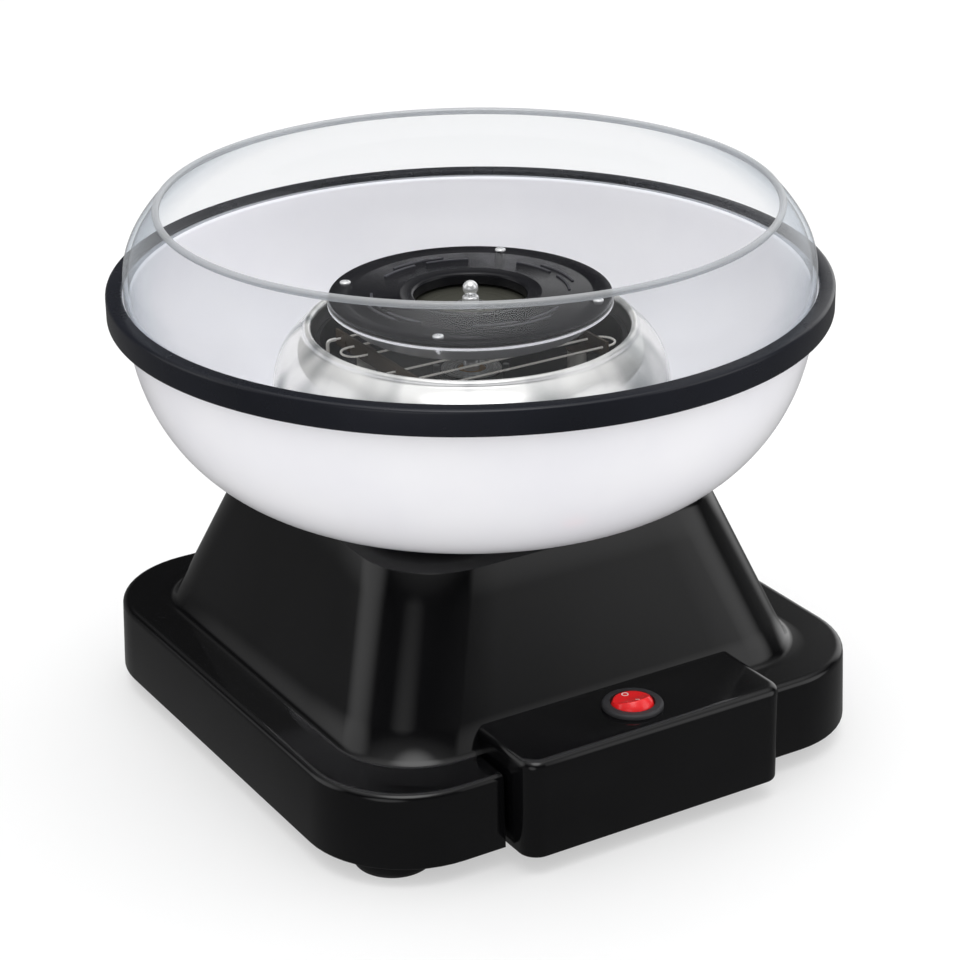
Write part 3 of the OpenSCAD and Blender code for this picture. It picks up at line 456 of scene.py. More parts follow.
def rounded_path(corners, radius, steps=6):
    """Rounds the corners of a polyline with quadratic curves."""
    points = [Vector(c) for c in corners]
    out = [points[0]]
    for before, here, after in zip(points, points[1:], points[2:]):
        reach = min(radius, (here - before).length * 0.45, (after - here).length * 0.45)
        a = here + (before - here).normalized() * reach
        b = here + (after - here).normalized() * reach
        for i in range(steps + 1):
            t = i / steps
            out.append(a * (1 - t) ** 2 + here * 2 * t * (1 - t) + b * t * t)
    out.append(points[-1])
    return [tuple(p) for p in out]


def joined(*parts):
    """Puts several (verts, faces) parts into one."""
    verts, faces = [], []
    for v, f in parts:
        start = len(verts)
        verts += v
        faces += [[start + i for i in face] for face in f]
    return verts, faces


def moved(part, matrix):
    return [tuple(matrix @ Vector(v)) for v in part[0]], part[1]


# ---- base --------------------------------------------------------------------------------------

SIDE_STEPS = 5
CORNER_STEPS = 14
RIM_STRAIGHT = BASE_HALF - BASE_R
NOTCH_AT = NOTCH_X / RIM_STRAIGHT
NOTCH_BACK = PED_FOOT
PLAIN_SIDE = [(-1 + 2 * i / SIDE_STEPS, False) for i in range(SIDE_STEPS)]
FRONT_SIDE = [(-1, False), (-NOTCH_AT, False), (-NOTCH_AT, True), (-NOTCH_AT / 3, True),
              (NOTCH_AT / 3, True), (NOTCH_AT, True), (NOTCH_AT, False)]


def square_row(half, r, z, notch=None):
    """Rounded-square row of points; notch gives the recess's half-width and its back wall."""
    straight = half - r
    points = []
    for quarter in range(4):
        turn = math.pi / 2 * quarter
        for s, inside in (FRONT_SIDE if quarter == 0 else PLAIN_SIDE):
            x, y = s * straight, -half
            if notch and abs(s) < 1 and quarter == 0:
                x = math.copysign(notch[0], s) if abs(s) == NOTCH_AT else x
                y = -min(half, notch[1]) if inside else y
            points.append((x, y, turn))
        for i in range(CORNER_STEPS):
            a = math.radians(-90 + 90 * i / CORNER_STEPS)
            points.append((straight + r * math.cos(a), -straight + r * math.sin(a), turn))
    return [(x * math.cos(t) - y * math.sin(t), x * math.sin(t) + y * math.cos(t), z)
            for x, y, t in points]


def circle_row(like, r, z, centre=(0, 0)):
    """Circle whose points lie in the same directions as those of another row."""
    out = []
    for x, y, _ in like:
        dx, dy = x - centre[0], y - centre[1]
        d = math.hypot(dx, dy)
        out.append((centre[0] + r * dx / d, centre[1] + r * dy / d, z))
    return out


def pedestal_half(z):
    """Half width of the sloping pedestal at a height."""
    return PED_FOOT + (PED_TOP - PED_FOOT) * (z - BASE_TOP) / (DECK_TOP - BASE_TOP)


def pedestal_row(z, inset=0.0):
    share = (z - BASE_TOP) / (DECK_TOP - BASE_TOP)
    r = PED_FOOT_R + (PED_TOP_R - PED_FOOT_R) * share
    return square_row(pedestal_half(z) - inset, r - inset, z)


def closed_loft(rows):
    """Skins closed rows of points and joins the last row to the first one."""
    verts, faces = loft(rows, cap=False)
    n, last = len(rows[0]), (len(rows) - 1) * len(rows[0])
    for i in range(n):
        j = (i + 1) % n
        faces.append([last + i, last + j, j, i])
    return verts, faces


def housing():
    """Base rim with the recess, sloping pedestal, deck and collar, then back down the inside."""
    outer, inner = (NOTCH_X, NOTCH_BACK), (NOTCH_X + WALL, NOTCH_BACK - WALL)
    edge, top_edge, deck = 0.8, 3.0, 3.0

    def rim(half, z, notch=outer):
        return square_row(half, half - RIM_STRAIGHT, z, notch)

    rows = [rim(BASE_HALF - edge + x, FOOT_TOP + edge + z)
            for x, z in fillet(0, 0, edge, -90, 0, 4)]
    rows += [rim(BASE_HALF - 1.0 - top_edge + x, BASE_TOP - top_edge + z)
             for x, z in fillet(0, 0, top_edge, 0, 90, 8)]
    rows.append(rim(BASE_HALF - 1.5 - top_edge, BASE_TOP))
    rows.append(rim(PED_FOOT + 4, BASE_TOP))
    for out, up in ((2.6, 0.0), (1.7, 0.12), (0.9, 0.5), (0.3, 1.15)):
        half = PED_FOOT + out
        rows.append(square_row(half, PED_FOOT_R + out, BASE_TOP + up, outer if out > 1 else None))
    rows += [pedestal_row(BASE_TOP + 2 + (DECK_TOP - BASE_TOP - 4.6) * i / 6) for i in range(7)]
    rows += [pedestal_row(DECK_TOP - 3 + x, 3 - 3 * math.cos(math.radians(a)))
             for a, x in ((25, 1.3), (45, 2.1), (65, 2.7), (90, 3.0))]
    rows += [circle_row(rows[-1], r, z) for r, z in (
        (COLLAR_R, DECK_TOP), (COLLAR_R, COLLAR_TOP - 0.8), (COLLAR_R - 0.3, COLLAR_TOP - 0.2),
        (COLLAR_R - 0.9, COLLAR_TOP), (COLLAR_R - 2.2, COLLAR_TOP),
        (COLLAR_R - 2.8, COLLAR_TOP - 0.6), (COLLAR_R - 2.8, DECK_TOP),
        (34, DECK_TOP), (34, DECK_TOP - deck), (60, DECK_TOP - deck))]
    rows += [pedestal_row(z, WALL) for z in (DECK_TOP - deck, 80, BASE_TOP - WALL + 0.1)]
    rows.append(rim(BASE_HALF - WALL - 2, BASE_TOP - WALL, inner))
    rows.append(rim(BASE_HALF - WALL, BASE_TOP - WALL - 2, inner))
    rows.append(rim(BASE_HALF - WALL, FOOT_TOP, inner))
    verts, faces = closed_loft(rows)
    make("housing_shell", verts, faces, "gloss_black", "base", "housing", smooth=35)


def box_row(inset, z, edge_r=8.0):
    """U-shaped plan of the control box; its back follows the pedestal."""
    r = max(edge_r - inset, 1.5)
    half, front = BOX_HALF - inset, BOX_FRONT - inset
    back = -pedestal_half(max(z, BASE_TOP)) - 0.15
    points = [(-half, back + (-front + r - back) * i / 3) for i in range(3)]
    points += [(-half + r + r * math.cos(a), -front + r + r * math.sin(a))
               for a in (math.radians(180 + 90 * i / 10) for i in range(11))]
    points += [(-half + r + (2 * half - 2 * r) * i / 8, -front) for i in range(1, 8)]
    points += [(half - r + r * math.cos(a), -front + r + r * math.sin(a))
               for a in (math.radians(270 + 90 * i / 10) for i in range(11))]
    points += [(half, -front + r + (back + front - r) * i / 3) for i in range(1, 4)]
    points += [(half - 2 * half * i / 10, back) for i in range(1, 10)]
    return [(x, y, z) for x, y in points]


def control_box():
    small, big = 1.0, 3.5
    rows = [box_row(small - x, FOOT_TOP + small + z) for x, z in fillet(0, 0, small, -90, 0, 4)]
    rows += [box_row(0, z) for z in (20, 30, BASE_TOP, BASE_TOP + 0.4)]
    rows += [box_row(big - x, BOX_TOP - big + z) for x, z in fillet(0, 0, big, 0, 90, 8)]
    rows.append(box_row(big + 0.5, BOX_TOP))
    centre = (0, SWITCH_Y)
    rows += [circle_row(rows[-1], r, BOX_TOP - down, centre)
             for r, down in ((10.9, 0), (10.3, 0.1), (10.0, 0.5), (10.0, 4))]
    verts, faces = loft(rows)
    make("control_box_shell", verts, faces, "gloss_black", "base", "control_box", smooth=32)


def suction_feet():
    section = ([(0.5, 2.7), (6, 2.2), (10.5, 1.1), (13.4, 0.1), (14.6, 0.0)]
               + fillet(15.2, 0.8, 0.8, -60, 60, 5)
               + [(14.6, 2.6), (13.2, 4.0), (11.9, 4.8), (11.4, 5.2), (11.3, 5.7), (11.9, 6.0)]
               + fillet(12.3, 6.9, 0.9, -60, 60, 4)
               + [(12.0, 8.1), (11.3, 8.4), (3.8, 8.4), (3.8, 11.2), (5.4, 11.3), (3.5, 13.3),
                  (0.5, 13.4)])
    reach = high("suction_feet").x - FOOT_CUP_R
    parts = [revolve(section, 64, (sx * reach, sy * reach)) for sx in (-1, 1) for sy in (-1, 1)]
    make("suction_foot_cups", *joined(*parts), "rubber_black", "base", "suction_feet", smooth=50)


# ---- switch ------------------------------------------------------------------------------------

ROCKER_BALL = 9.0
ROCKER_FACE = 4.6


def rocker_height(y):
    """Height of the dished face over the pivot, at a distance from the middle."""
    soft = 2.4
    return ROCKER_FACE + (math.sqrt(y * y + soft * soft) - soft) * math.tan(REST_TILT)


def tilted(part):
    """Takes a part built round the pivot to its place on the machine, at the OFF tilt."""
    turn = Matrix.Translation((0, SWITCH_Y, PIVOT_Z)) @ Matrix.Rotation(-REST_TILT, 4, "X")
    return moved(part, turn)


def rocker():
    """Ball cut by the dished face; a ring and a bar stand on the face as generic marks."""
    count, edge, rings = 144, 0.55, 16
    rows = []
    for share in (i / rings for i in range(rings + 1)):
        row = []
        for i in range(count):
            a = 2 * math.pi * i / count
            r = 7.4
            for _ in range(6):  # settles on the radius where the face meets the ball
                r = math.sqrt(ROCKER_BALL ** 2 - rocker_height(r * math.sin(a)) ** 2)
            r = max((r - edge) * share, 0.02)
            row.append((r * math.cos(a), r * math.sin(a), rocker_height(r * math.sin(a))))
        rows.append(row)
    rim = rows[-1]
    for out, down in ((0.3, 0.04), (0.5, 0.16), (0.62, 0.4)):
        row = []
        for x, y, z in rim:
            d = math.hypot(x, y)
            r = min(d + out, math.sqrt(ROCKER_BALL ** 2 - (z - down) ** 2))
            row.append((x / d * r, y / d * r, z - down))
        rows.append(row)
    for z in (3.6, 2.4, 1.2, 0.0, -1.5, -3.0, -4.8):
        r = math.sqrt(ROCKER_BALL ** 2 - z * z) - 0.05
        rows.append([(x / math.hypot(x, y) * r, y / math.hypot(x, y) * r, z) for x, y, _ in rim])
    make("rocker_cap", *tilted(loft(rows)), "rocker_red", "rocker", "rocker", smooth=60)
    ring = revolve([(1.05, 0.0), (1.05, 0.09), (1.45, 0.09), (1.45, 0.0)], 40)
    bar = loft([[(-0.24, -1.4, z), (0.24, -1.4, z), (0.24, 1.4, z), (-0.24, 1.4, z)]
                for z in (0, 0.09)])
    marks = []
    for part, y, sign in ((ring, 4.6, 1), (bar, -4.4, -1)):
        lie = Matrix.Translation((0, y, rocker_height(y) - 0.03))
        marks.append(moved(part, lie @ Matrix.Rotation(sign * REST_TILT, 4, "X")))
    make("rocker_marks", *tilted(joined(*marks)), "nylon", "rocker")


# ---- bowl, ring, guard, shield -----------------------------------------------------------------


def bowl_side(t, steps=40):
    """Side of the bowl from its floor up, t inside the outer skin."""
    return bezier((75.2, BOWL_LOW + t), (BOWL_R - 26.5 - t * 0.3, BOWL_LOW + t),
                  (BOWL_R - t, BOWL_LOW + 36.2 + t * 0.3), (BOWL_R - t, BOWL_LOW + 75.1), steps)


def bowl():
    t, lip, hole = 2.4, BOWL_TOP, 70.0
    section = ([(hole, BOWL_LOW + 0.6), (hole + 0.6, BOWL_LOW)] + bowl_side(0)
               + [(BOWL_R, lip - 3.6), (BOWL_R + 0.5, lip - 2.4), (BOWL_R + 1.5, lip - 2.1)]
               + [(RING_R - 3.2, lip - 2.1)] + fillet(RING_R - 3.4, lip - 1.1, 0.9, -80, 80, 6)
               + [(BOWL_R - 0.6, lip)] + fillet(BOWL_R - t + 1.4, lip - 1.4, 1.4, 90, 180, 6)
               + bowl_side(t)[::-1]
               + fillet(hole + t + 1.5, BOWL_LOW + t + 1.5, 1.5, -90, -180, 5)
               + fillet(hole + t - 0.9, BOWL_LOW + 11.6, 0.9, 0, 90, 4)
               + fillet(hole + 0.9, BOWL_LOW + 11.6, 0.9, 90, 180, 4))
    make("bowl_shell", *revolve(section, 256), "bowl_white", "bowl", "bowl", smooth=50)


def rim_ring():
    t, low_z, top = 2.2, RING_LOW, RING_TOP
    section = (fillet(BOWL_R + 2.6, low_z + 0.6, 0.6, 180, 270, 3)
               + fillet(RING_R - 1.1, low_z + 1.1, 1.1, -90, 0, 5)
               + [(RING_R, low_z + 5.4)]
               + fillet(RING_R - 1.5, top - 1.5, 1.5, 0, 90, 6)
               + [(RING_R - 3.4, top)]
               + fillet(SHIELD_R + 1.4, top - 0.8, 0.8, 90, 180, 4)
               + [(SHIELD_R + 0.6, top - t), (RING_R - t, top - t), (RING_R - t, low_z + 2),
                  (BOWL_R + 2, low_z + 2)])
    make("rim_ring_clip", *revolve(section, 256), "ring_black", "bowl", "rim_ring", smooth=45)


def guard_side(t, steps=24):
    """Wall of the heat guard from its rolled bead down to its foot, t inside the outer skin."""
    bead_r, bead_z = GUARD_R - 1.7, GUARD_TOP - 1.7
    a = math.radians(12 + t * 37)
    start = (bead_r + 1.7 * math.cos(a), bead_z - 1.7 * math.sin(a))
    upper = bezier(start, (GUARD_R + 8 - t / 2, GUARD_TOP - 6.5 - t),
                   (GUARD_R + 13 - t, GUARD_TOP - 16 - t / 2),
                   (GUARD_R + 13.6 - t, GUARD_TOP - 26), steps)
    lower = bezier((GUARD_R + 13.7 - t, GUARD_TOP - 28), (GUARD_R + 14.6 - t, GUARD_TOP - 40),
                   (GUARD_R + 15.4 - t, GUARD_TOP - 53),
                   (GUARD_R + 18.5 - t / 2, BOWL_LOW + GUARD_FOOT_UP - t), steps)
    return upper + lower


def heat_guard():
    out, t = 7.5, 0.8
    rise = out * math.tan(math.radians(17))
    foot = (GUARD_R + 18.5 + out, BOWL_LOW + GUARD_FOOT_UP + rise)
    section = (guard_side(0)
               + [(foot[0] - 0.3, foot[1]), (foot[0], foot[1] - 0.4), (foot[0] - 0.3, foot[1] - t)]
               + guard_side(t)[::-1] + fillet(GUARD_R - 1.7, GUARD_TOP - 1.7, 1.7, -66, -348, 24))
    # The guard_chrome colour carries painted reflection bands and a painted highlight near the top.
    make("heat_guard_shell", *revolve(section, 256), "guard_chrome", "bowl", "heat_guard", smooth=60)


def splash_shield():
    """Clear wall that turns in to the mouth, and the thicker rounded lip of the mouth."""
    t, turn_in, pull_up = 2.2, 202, 11

    def side(d):
        return bezier((SHIELD_R - d, turn_in), (SHIELD_R - d, turn_in + pull_up),
                      (MOUTH_R + 8 - d, MOUTH_Z - 10), (MOUTH_R - d, MOUTH_Z - 1.2), 30)

    section = ([(SHIELD_R - t, SHIELD_LOW + 0.3), (SHIELD_R - t + 0.3, SHIELD_LOW),
                (SHIELD_R - 0.3, SHIELD_LOW), (SHIELD_R, SHIELD_LOW + 0.3)]
               + side(0) + [(MOUTH_R - 1.4, MOUTH_Z - 2.2)] + side(t)[::-1])
    make("splash_shield_wall", *revolve(section, 256), "clear", "shield", "splash_shield", smooth=60)
    lip = 1.5
    make("splash_shield_lip", *revolve(fillet(MOUTH_R - lip, MOUTH_Z - lip, lip, 0, 345, 23), 256),
         "clear_edge", "shield", smooth=60)


# ---- sugar head and spindle --------------------------------------------------------------------


def ring_arc(r0, r1, z, height, start, stop, steps=24):
    """Flat raised arc between two radii, with sloping sides."""
    slope = 0.12
    verts, faces = [], []
    for i in range(steps + 1):
        a = math.radians(start + (stop - start) * i / steps)
        for r, h in ((r0, 0), (r0 + slope, height), (r1 - slope, height), (r1, 0)):
            verts.append((r * math.cos(a), r * math.sin(a), z + h))
    for i in range(steps):
        for k in range(4):
            m = (k + 1) % 4
            faces.append([i * 4 + k, i * 4 + 4 + k, i * 4 + 4 + m, i * 4 + m])
    faces += [[0, 1, 2, 3], [steps * 4 + k for k in (3, 2, 1, 0)]]
    return verts, faces


def head_plate():
    top, under = HEAD_TOP, HEAD_TOP - 1.8
    section = ([(WELL_R, WELL_FLOOR + 1.4), (WELL_R + 1.6, WELL_FLOOR + 1.4), (WELL_R + 1.6, under),
                (HEAD_R - 0.3, under), (HEAD_R, under + 0.3)]
               + fillet(HEAD_R - 0.6, top - 0.6, 0.6, 0, 90, 6)
               + [(52, top), (51.4, top - 0.25), (50.6, top - 0.25), (50, top)]
               + [(30.4, top), (29.9, top + 0.25), (29.1, top + 0.25), (28.6, top)]
               + fillet(WELL_R + 1.4, top - 1.4, 1.4, 90, 180, 8))
    make("head_top_plate", *revolve(section, 192), "head_black", "head", "head_plate", smooth=38)
    marks, wide, sunk, height = [], 1.2, 0.05, 0.4
    for turn in (0, 90, 180, 270):
        for r, start, stop in ((40.5, -30, -4), (40.5, 4, 30), (43.8, -16, 16)):
            marks.append(ring_arc(r, r + wide, top - sunk, height, turn + start, turn + stop))
    # The marks take the lighter mark_relief colour, a painted sheen for the light their raised edges
    # catch.
    make("head_grip_marks", *joined(*marks), "mark_relief", "head", smooth=30)


def cross_head(radius, height, cut):
    """Domed screw head with a cross recess, standing on z = 0."""
    mesh = bpy.data.meshes.new("work_head")
    section = [(0.02, height)] + [(radius * math.sin(a), height * (0.35 + 0.65 * math.cos(a)))
                                  for a in (math.pi / 2 * i / 8 for i in range(1, 9))]
    section += [(radius, 0), (0.02, 0)]
    verts, faces = revolve(section, 56)
    mesh.from_pydata(verts, [], faces)
    body = bpy.data.objects.new("work_head", mesh)
    tool_mesh = bpy.data.meshes.new("work_cross")
    arm, w = radius * 0.68, 0.16
    cross = [(-w, -1), (w, -1), (w, -w), (1, -w), (1, w), (w, w),
             (w, 1), (-w, 1), (-w, w), (-1, w), (-1, -w), (-w, -w)]
    verts, faces = loft([[(x * arm * s, y * arm * s, z) for x, y in cross]
                         for z, s in ((height - cut, 0.8), (height + 1, 1.25))])
    tool_mesh.from_pydata(verts, [], faces)
    tool = bpy.data.objects.new("work_cross", tool_mesh)
    for thing in (body, tool):
        bpy.context.scene.collection.objects.link(thing)
        work = bmesh.new()
        work.from_mesh(thing.data)
        bmesh.ops.remove_doubles(work, verts=work.verts, dist=1e-5)
        bmesh.ops.recalc_face_normals(work, faces=work.faces)
        work.to_mesh(thing.data)
        work.free()
    cutter = body.modifiers.new("cut", "BOOLEAN")
    cutter.object, cutter.operation, cutter.solver = tool, "DIFFERENCE", "EXACT"
    bpy.context.view_layer.update()
    done = body.evaluated_get(bpy.context.evaluated_depsgraph_get()).to_mesh()
    result = ([tuple(v.co) for v in done.vertices], [list(p.vertices) for p in done.polygons])
    for thing in (body, tool):
        bpy.data.objects.remove(thing)
    return result


def head_screws():
    head = cross_head(2.3, 1.05, 0.55)
    shank = revolve([(0.02, -6), (1.4, -6), (1.4, 0), (0.02, 0)], 24)
    circle_r, gap = 54, 0.02
    parts = []
    for i in range(4):
        turn = Matrix.Rotation(math.radians(45 + 90 * i), 4, "Z")
        seat = turn @ Matrix.Translation((circle_r, 0, HEAD_TOP + gap))
        parts.append(moved(head, seat @ Matrix.Rotation(0.5 + i, 4, "Z")))
        parts.append(moved(shank, turn @ Matrix.Translation((circle_r, 0, HEAD_TOP))))
    make("head_fixings", *joined(*parts), "bright_steel", "head", "head_screws", smooth=35)


def spindle():
    r, ball_r = SPINDLE_R, 3.25
    section = ([(0.02, 112), (r, 112), (r, HEAD_TOP - 2.8)]
               + fillet(r - 1.2, HEAD_TOP - 2.6, 1.2, 0, 75, 6)
               + [(1.95, HEAD_TOP - 1.35), (1.8, HEAD_TOP - 1.1), (1.87, HEAD_TOP - 0.95)]
               + fillet(0, TIP_Z - ball_r, ball_r, -54, 89.7, 22))
    make("spindle_rod", *revolve(section, 64), "bright_steel", "spindle", "spindle", smooth=40)


# ---- heater ------------------------------------------------------------------------------------


def coil_centre():
    """Centre line of the resistance wire: six runs joined by half turns."""
    reach, z = 46.0, high("heater_coils").z - 1.1
    points = []
    side = 1
    for i, y in enumerate(COIL_RUNS):
        points += [(-side * reach + 2 * side * reach * s / 60, y, z) for s in range(61)]
        if i < len(COIL_RUNS) - 1:
            gap = (COIL_RUNS[i + 1] - y) / 2
            turn = [math.radians(-90 + 180 * s / 24) for s in range(1, 24)]
            points += [(side * (reach + gap * math.cos(a)), y + gap + gap * math.sin(a), z)
                       for a in turn]
        side = -side
    return points


def heater_coils():
    """Fine helix wound along the centre line, with a straight lead at each end."""
    wire_r, coil_r, pitch, per_turn = 0.22, 0.32, 0.62, 7
    centre = [Vector(p) for p in coil_centre()]
    path, travelled, turn = [], 0.0, 0.0
    step = pitch / per_turn
    for a, b in zip(centre, centre[1:]):
        length = (b - a).length
        ahead = (b - a).normalized()
        side = Vector((-ahead.y, ahead.x, 0))
        while travelled < length:
            angle = turn * 2 * math.pi / per_turn
            path.append(a + ahead * travelled + side * coil_r * math.cos(angle)
                        + Vector((0, 0, coil_r * math.sin(angle))))
            travelled += step
            turn += 1
        travelled -= length
    z = centre[0].z
    drop = low("heater_coils").z
    leads = [tube(rounded_path([(POST_X + 4, y, z), (POST_X, y, z), (POST_X, y, drop)], 2), 0.75, 12)
             for y in (-POST_Y, POST_Y)]
    # The heater_wire colour carries a faint painted glow standing for glints on the cold wire.
    make("heater_coil_wire", *joined(tube(path, wire_r, 5), *leads), "heater_wire", "base",
         "heater_coils", smooth=70)


# ---- lead, plug and wires ----------------------------------------------------------------------

# Cord: where it leaves the base, its turns and its run behind the machine, the two bends that
# lower it to the ground, and the sideways step along the machine's right side.
CORD_R = 3.1
OUTLET = (76, 127, 18)
TURN_R, RUN_Y, FOLD_X = 6.5, 144, -45
DROP_R = 12
JOG, JOG_R, SIDE_Y = 8.2, 16, 30


def cord_path():
    """Same path as the CAD cord, in finer steps."""
    x, _, z = OUTLET
    drop_a = math.degrees(math.acos(1 - (z - CORD_R) / (2 * DROP_R)))
    jog_a = math.degrees(math.acos(1 - JOG / (2 * JOG_R)))
    drop_x = x - TURN_R
    end_x = drop_x - 2 * DROP_R * math.sin(math.radians(drop_a))
    corner = BASE_HALF - BASE_R
    bend = RUN_Y - 2 * TURN_R - corner
    side_x = corner + bend
    jog_end = SIDE_Y - 2 * JOG_R * math.sin(math.radians(jog_a))
    points = [(x, 107, z)]
    points += [(a, b, z) for a, b in fillet(drop_x, RUN_Y - TURN_R, TURN_R, 0, 90, 16)]
    points += [(a, RUN_Y, b) for a, b in fillet(drop_x, z - DROP_R, DROP_R, 90, 90 + drop_a, 12)]
    points += [(a, RUN_Y, b)
               for a, b in fillet(end_x, CORD_R + DROP_R, DROP_R, drop_a - 90, -90, 12)[1:]]
    flat = fillet(FOLD_X, RUN_Y - TURN_R, TURN_R, 90, 270, 24)
    flat += fillet(corner, corner, bend, 90, 0, 30)
    flat += fillet(side_x + JOG_R, SIDE_Y, JOG_R, 180, 180 + jog_a, 10)
    flat += fillet(side_x + JOG - JOG_R, jog_end, JOG_R, jog_a, 0, 10)[1:]
    flat.append((side_x + JOG, jog_end - 4.5))
    return points + [(a, b, CORD_R) for a, b in flat]


def power_cord():
    make("power_cord_sheath", *tube(cord_path(), CORD_R - 0.02, 20), "rubber_black", "base",
         "power_cord", smooth=60)


def grip_rib(x, y, z):
    """Small upright bar on the side of the plug."""
    deep, proud, thick, half_tall = 0.3, 0.35, 0.9, 3
    return loft([[(x - deep, y, z + dz), (x + proud, y, z + dz),
                  (x + proud, y + thick, z + dz), (x - deep, y + thick, z + dz)]
                 for dz in (-half_tall, half_tall)])


def plug():
    """Moulded plug lying flat, with grip ribs on both sides."""
    x = (low("plug_blades").x + high("plug_blades").x) / 2
    front, back = low("plug_body").y, high("plug_body").y
    mid_z, wide, tall = 6.2, 10.6, 5.4
    flat_sides, flat_faces = 0.55, 0.7
    rows = []
    for share, w, h in ((0.0, 0.86, 0.86), (0.02, 0.95, 0.95), (0.06, 1.0, 1.0), (0.3, 1.0, 1.0),
                        (0.62, 0.98, 1.0), (0.7, 0.94, 0.99), (0.78, 0.82, 0.97), (0.86, 0.64, 0.93),
                        (0.93, 0.5, 0.88), (0.98, 0.44, 0.84), (1.0, 0.38, 0.74)):
        row = []
        for i in range(48):
            a = 2 * math.pi * i / 48
            c, s = math.cos(a), math.sin(a)
            px = math.copysign(abs(c) ** flat_sides, c) * wide * w
            pz = math.copysign(abs(s) ** flat_faces, s) * tall * h
            row.append((x + px, front + (back - front) * share, mid_z + pz))
        rows.append(row)
    ribs = [grip_rib(x + side * wide, front + 6 + 2.2 * i, mid_z)
            for side in (-1, 1) for i in range(4)]
    make("plug_moulding", *joined(loft(rows), *ribs), "rubber_black", "base", "plug_body", smooth=45)


def internal_wires():
    """Same corners as the CAD wires: terminals, switch tabs, fuse, heater posts, board and motor."""
    z, tab_z, post_top = 18.0, 21.8, 142.6
    near, middle, far = (SWITCH_Y + d for d in (6, 0, -6))
    mains = [
        [(61, 82, z), (61, 66, z), (20, 60, 60), (POST_X, POST_Y, POST_LOW),
         (POST_X, POST_Y, post_top)],
        [(73, 82, z), (73, 20, 16), (12, -90, 20), (6, -110, 17), (0, near, 17), (0, near, tab_z)],
        [(0, middle, tab_z), (0, middle, 16), (-8, -112, 16), (-12, -90, 18), (-66, -20, 16),
         (-70, 30, 15), (-70, 43.6, 16)],
        [(0, far, tab_z), (0, far, 16), (-14, -124, 16), (-18, -90, 24), (-60, -60, 60),
         (POST_X, -POST_Y, POST_LOW), (POST_X, -POST_Y, post_top)]]
    thin = [
        [(-44, 70, z + 0.9), (-44, 70, 26), (-40, 30, 36), (-14, 8, 36.5), (-14, 8, 39.8)],
        [(-40, 74, z + 0.9), (-40, 74, 28), (-30, 34, 38), (14, 8, 36.5), (14, 8, 39.8)],
        [(77, 104, 17), (77, 98, 17), (85, 98, 17), (85, 90, 17.5)],
        [(75, 104, 19.5), (73, 96, 19.5), (73, 90, 18.5)]]
    parts = [tube(rounded_path(p, 7), 1.1, 12) for p in mains]
    parts += [tube(rounded_path(p, 5), 0.9, 10) for p in thin]
    make("wire_runs", *joined(*parts), "wire_red", "base", "internal_wires", smooth=60)


# ---- build -------------------------------------------------------------------------------------

for name, thing in nodes.items():
    thing.data.materials.clear()
    thing.data.materials.append(MATERIALS[DARKENED.get(name, SLOT_OF[name])])

for build in (housing, control_box, suction_feet, rocker, bowl, rim_ring, heat_guard, splash_shield,
              head_plate, head_screws, spindle, heater_coils, power_cord, plug, internal_wires):
    build()

# ---- floor, light and camera -------------------------------------------------------------------


def stage_material(name, color, roughness, glow):
    """Back-lit paper, so that the ground stays near white."""
    paint = Paint(name, color, roughness, Emission_Color=(1, 1, 1, 1), Emission_Strength=glow)
    paint.vary_roughness(paint.noise(6), roughness - 0.05, roughness + 0.05)
    return paint.mat


def floor():
    """Level ground in metres that curves up into a wall behind the machine."""
    size, level_to, corner, wall = 6.0, 2.2, 1.6, 4.0
    profile = [(-size, 0.0), (level_to, 0.0)]
    profile += [(level_to + corner * math.sin(a), corner - corner * math.cos(a))
                for a in (math.pi / 2 * i / 12 for i in range(1, 13))]
    profile.append((level_to + corner, wall))
    verts = [(x, y, z) for y, z in profile for x in (-size, size)]
    faces = [[2 * i, 2 * i + 1, 2 * i + 3, 2 * i + 2] for i in range(len(profile) - 1)]
    mesh = bpy.data.meshes.new("floor")
    mesh.from_pydata(verts, [], faces)
    mesh.shade_smooth()
    mesh.materials.append(stage_material("floor_paper", (0.4, 0.4, 0.4), 0.6, 0.49))
    sweep = bpy.data.objects.new("floor", mesh)
    bpy.context.scene.collection.objects.link(sweep)
    sweep.visible_glossy = False


def panel(name, place, wide, tall, power):
    """Rectangular light aimed at the machine, not seen in reflections."""
    target = Vector((0, 0, 0.1))
    data = bpy.data.lights.new(name, "AREA")
    data.shape = "RECTANGLE"
    data.size, data.size_y = wide, tall
    data.energy = power
    light = bpy.data.objects.new(name, data)
    light.location = place
    light.visible_glossy = False
    light.rotation_euler = (target - Vector(place)).to_track_quat("-Z", "Y").to_euler()
    bpy.context.scene.collection.objects.link(light)


def camera():
    """Camera of the photo: turned left, looking down, and rolled slightly."""
    azimuth, elevation, roll = (math.radians(a) for a in (-30.91, 23.63, -0.838))
    distance, aim = 1.183, Vector((0, 0, 0.10442))
    back = Vector((math.sin(azimuth) * math.cos(elevation),
                   -math.cos(azimuth) * math.cos(elevation), math.sin(elevation)))
    right = Vector((math.cos(azimuth), math.sin(azimuth), 0))
    up = back.cross(right)
    side = right * math.cos(roll) + up * math.sin(roll)
    head = up * math.cos(roll) - right * math.sin(roll)
    data = bpy.data.cameras.new("camera")
    data.lens, data.sensor_width = 104.0, 36.0
    data.shift_x, data.shift_y = 0.0071, -0.0001
    data.clip_start, data.clip_end = 0.05, 50
    shot = bpy.data.objects.new("camera", data)
    turn = Matrix((side, head, back)).transposed().to_4x4()
    shot.matrix_world = Matrix.Translation(aim + back * distance) @ turn
    bpy.context.scene.collection.objects.link(shot)
    bpy.context.scene.camera = shot


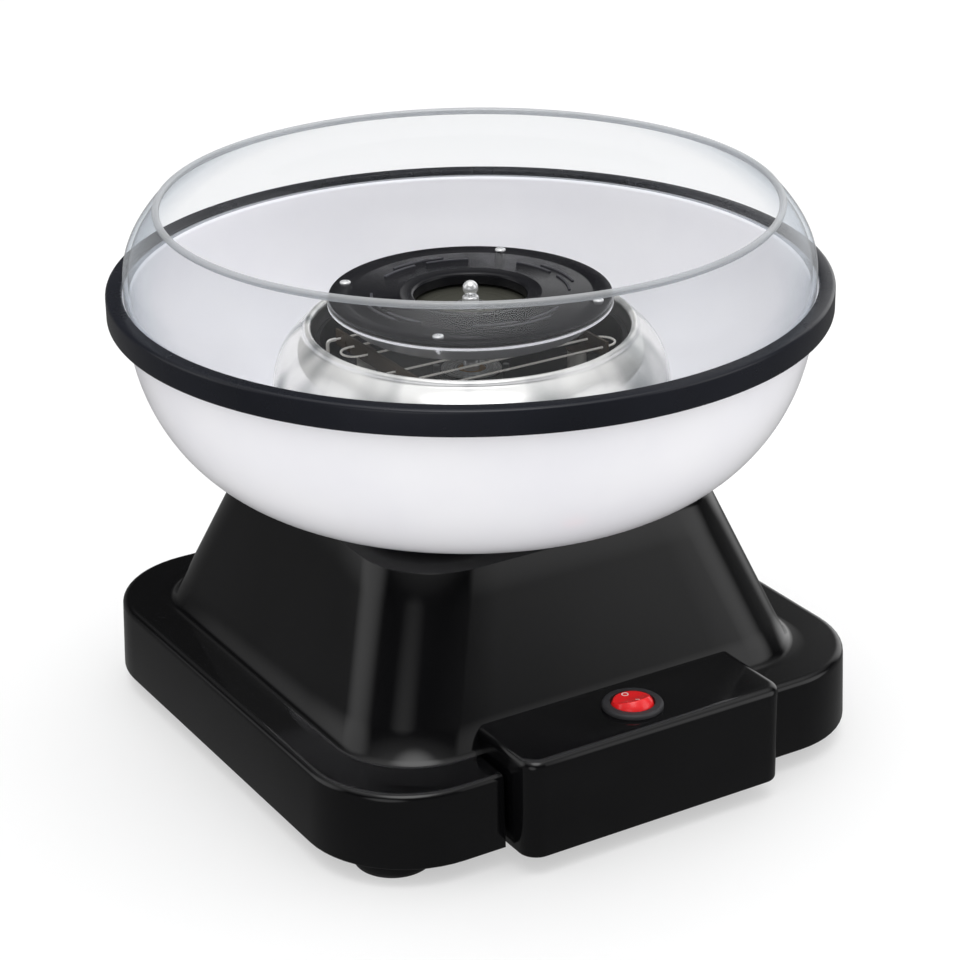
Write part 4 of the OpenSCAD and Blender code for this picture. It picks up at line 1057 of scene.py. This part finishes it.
# Direction, cosine at which the patch begins, and strength.
SOFT_BOXES = [((-0.75, -0.6, 0.12), 0.9, 0.8), ((0.85, 0.5, 0.2), 0.88, 1.2),
              ((-0.85, 0.55, 0.35), 0.88, 0.9), ((0.72, -0.62, 0.35), 0.88, 1.1),
              ((-0.2, -0.35, 0.91), 0.9, 2.2)]


def soft_box(tree, towards, start, strength):
    """Smooth patch of light in the direction given, seen only in reflections."""
    aim = tree.nodes.new("ShaderNodeVectorMath")
    aim.operation = "DOT_PRODUCT"
    aim.inputs[1].default_value = Vector(towards).normalized()
    tree.links.new(tree.nodes["directions"].outputs["Generated"], aim.inputs[0])
    patch = tree.nodes.new("ShaderNodeMapRange")
    patch.interpolation_type = "SMOOTHSTEP"
    patch.inputs["From Min"].default_value = start
    patch.inputs["To Max"].default_value = strength
    tree.links.new(aim.outputs["Value"], patch.inputs["Value"])
    return patch.outputs["Result"]


def studio():
    """White room for the camera and for soft light; dark room with soft boxes for reflections."""
    world = bpy.data.worlds.new("studio")
    world.use_nodes = True
    tree = world.node_tree
    plain = tree.nodes["Background"]
    plain.inputs["Color"].default_value = (1, 1, 1, 1)
    plain.inputs["Strength"].default_value = 0.92
    tree.nodes.new("ShaderNodeTexCoord").name = "directions"
    split = tree.nodes.new("ShaderNodeSeparateXYZ")
    tree.links.new(tree.nodes["directions"].outputs["Generated"], split.inputs["Vector"])
    by_height = tree.nodes.new("ShaderNodeValToRGB")
    ramp = by_height.color_ramp
    ramp.elements[0].color = (0.14, 0.14, 0.14, 1)
    ramp.elements[1].position, ramp.elements[1].color = 0.92, (1, 1, 1, 1)
    for height, tone in ((0.15, 0.1), (0.4, 0.03), (0.5, 0.06), (0.7, 0.35)):
        ramp.elements.new(height).color = (tone, tone, tone, 1)
    tree.links.new(split.outputs["Z"], by_height.inputs["Fac"])
    total = by_height.outputs["Color"]
    for towards, start, strength in SOFT_BOXES:
        add = tree.nodes.new("ShaderNodeVectorMath")
        tree.links.new(total, add.inputs[0])
        tree.links.new(soft_box(tree, towards, start, strength), add.inputs[1])
        total = add.outputs["Vector"]
    seen = tree.nodes.new("ShaderNodeBackground")
    tree.links.new(total, seen.inputs["Color"])
    path = tree.nodes.new("ShaderNodeLightPath")
    mix = tree.nodes.new("ShaderNodeMixShader")
    tree.links.new(path.outputs["Is Glossy Ray"], mix.inputs["Fac"])
    tree.links.new(plain.outputs["Background"], mix.inputs[1])
    tree.links.new(seen.outputs["Background"], mix.inputs[2])
    tree.links.new(mix.outputs["Shader"], tree.nodes["World Output"].inputs["Surface"])
    bpy.context.scene.world = world
    panel("key", (-1.3, -1.2, 1.7), 1.3, 1.3, 2)
    panel("fill", (1.6, -0.5, 0.8), 0.9, 1.4, 6)
    panel("top", (0.1, 0.2, 2.2), 2.6, 2.6, 38)
    bpy.context.scene.view_settings.view_transform = "Standard"
    bpy.context.scene.view_settings.look = "None"


floor()
studio()
camera()
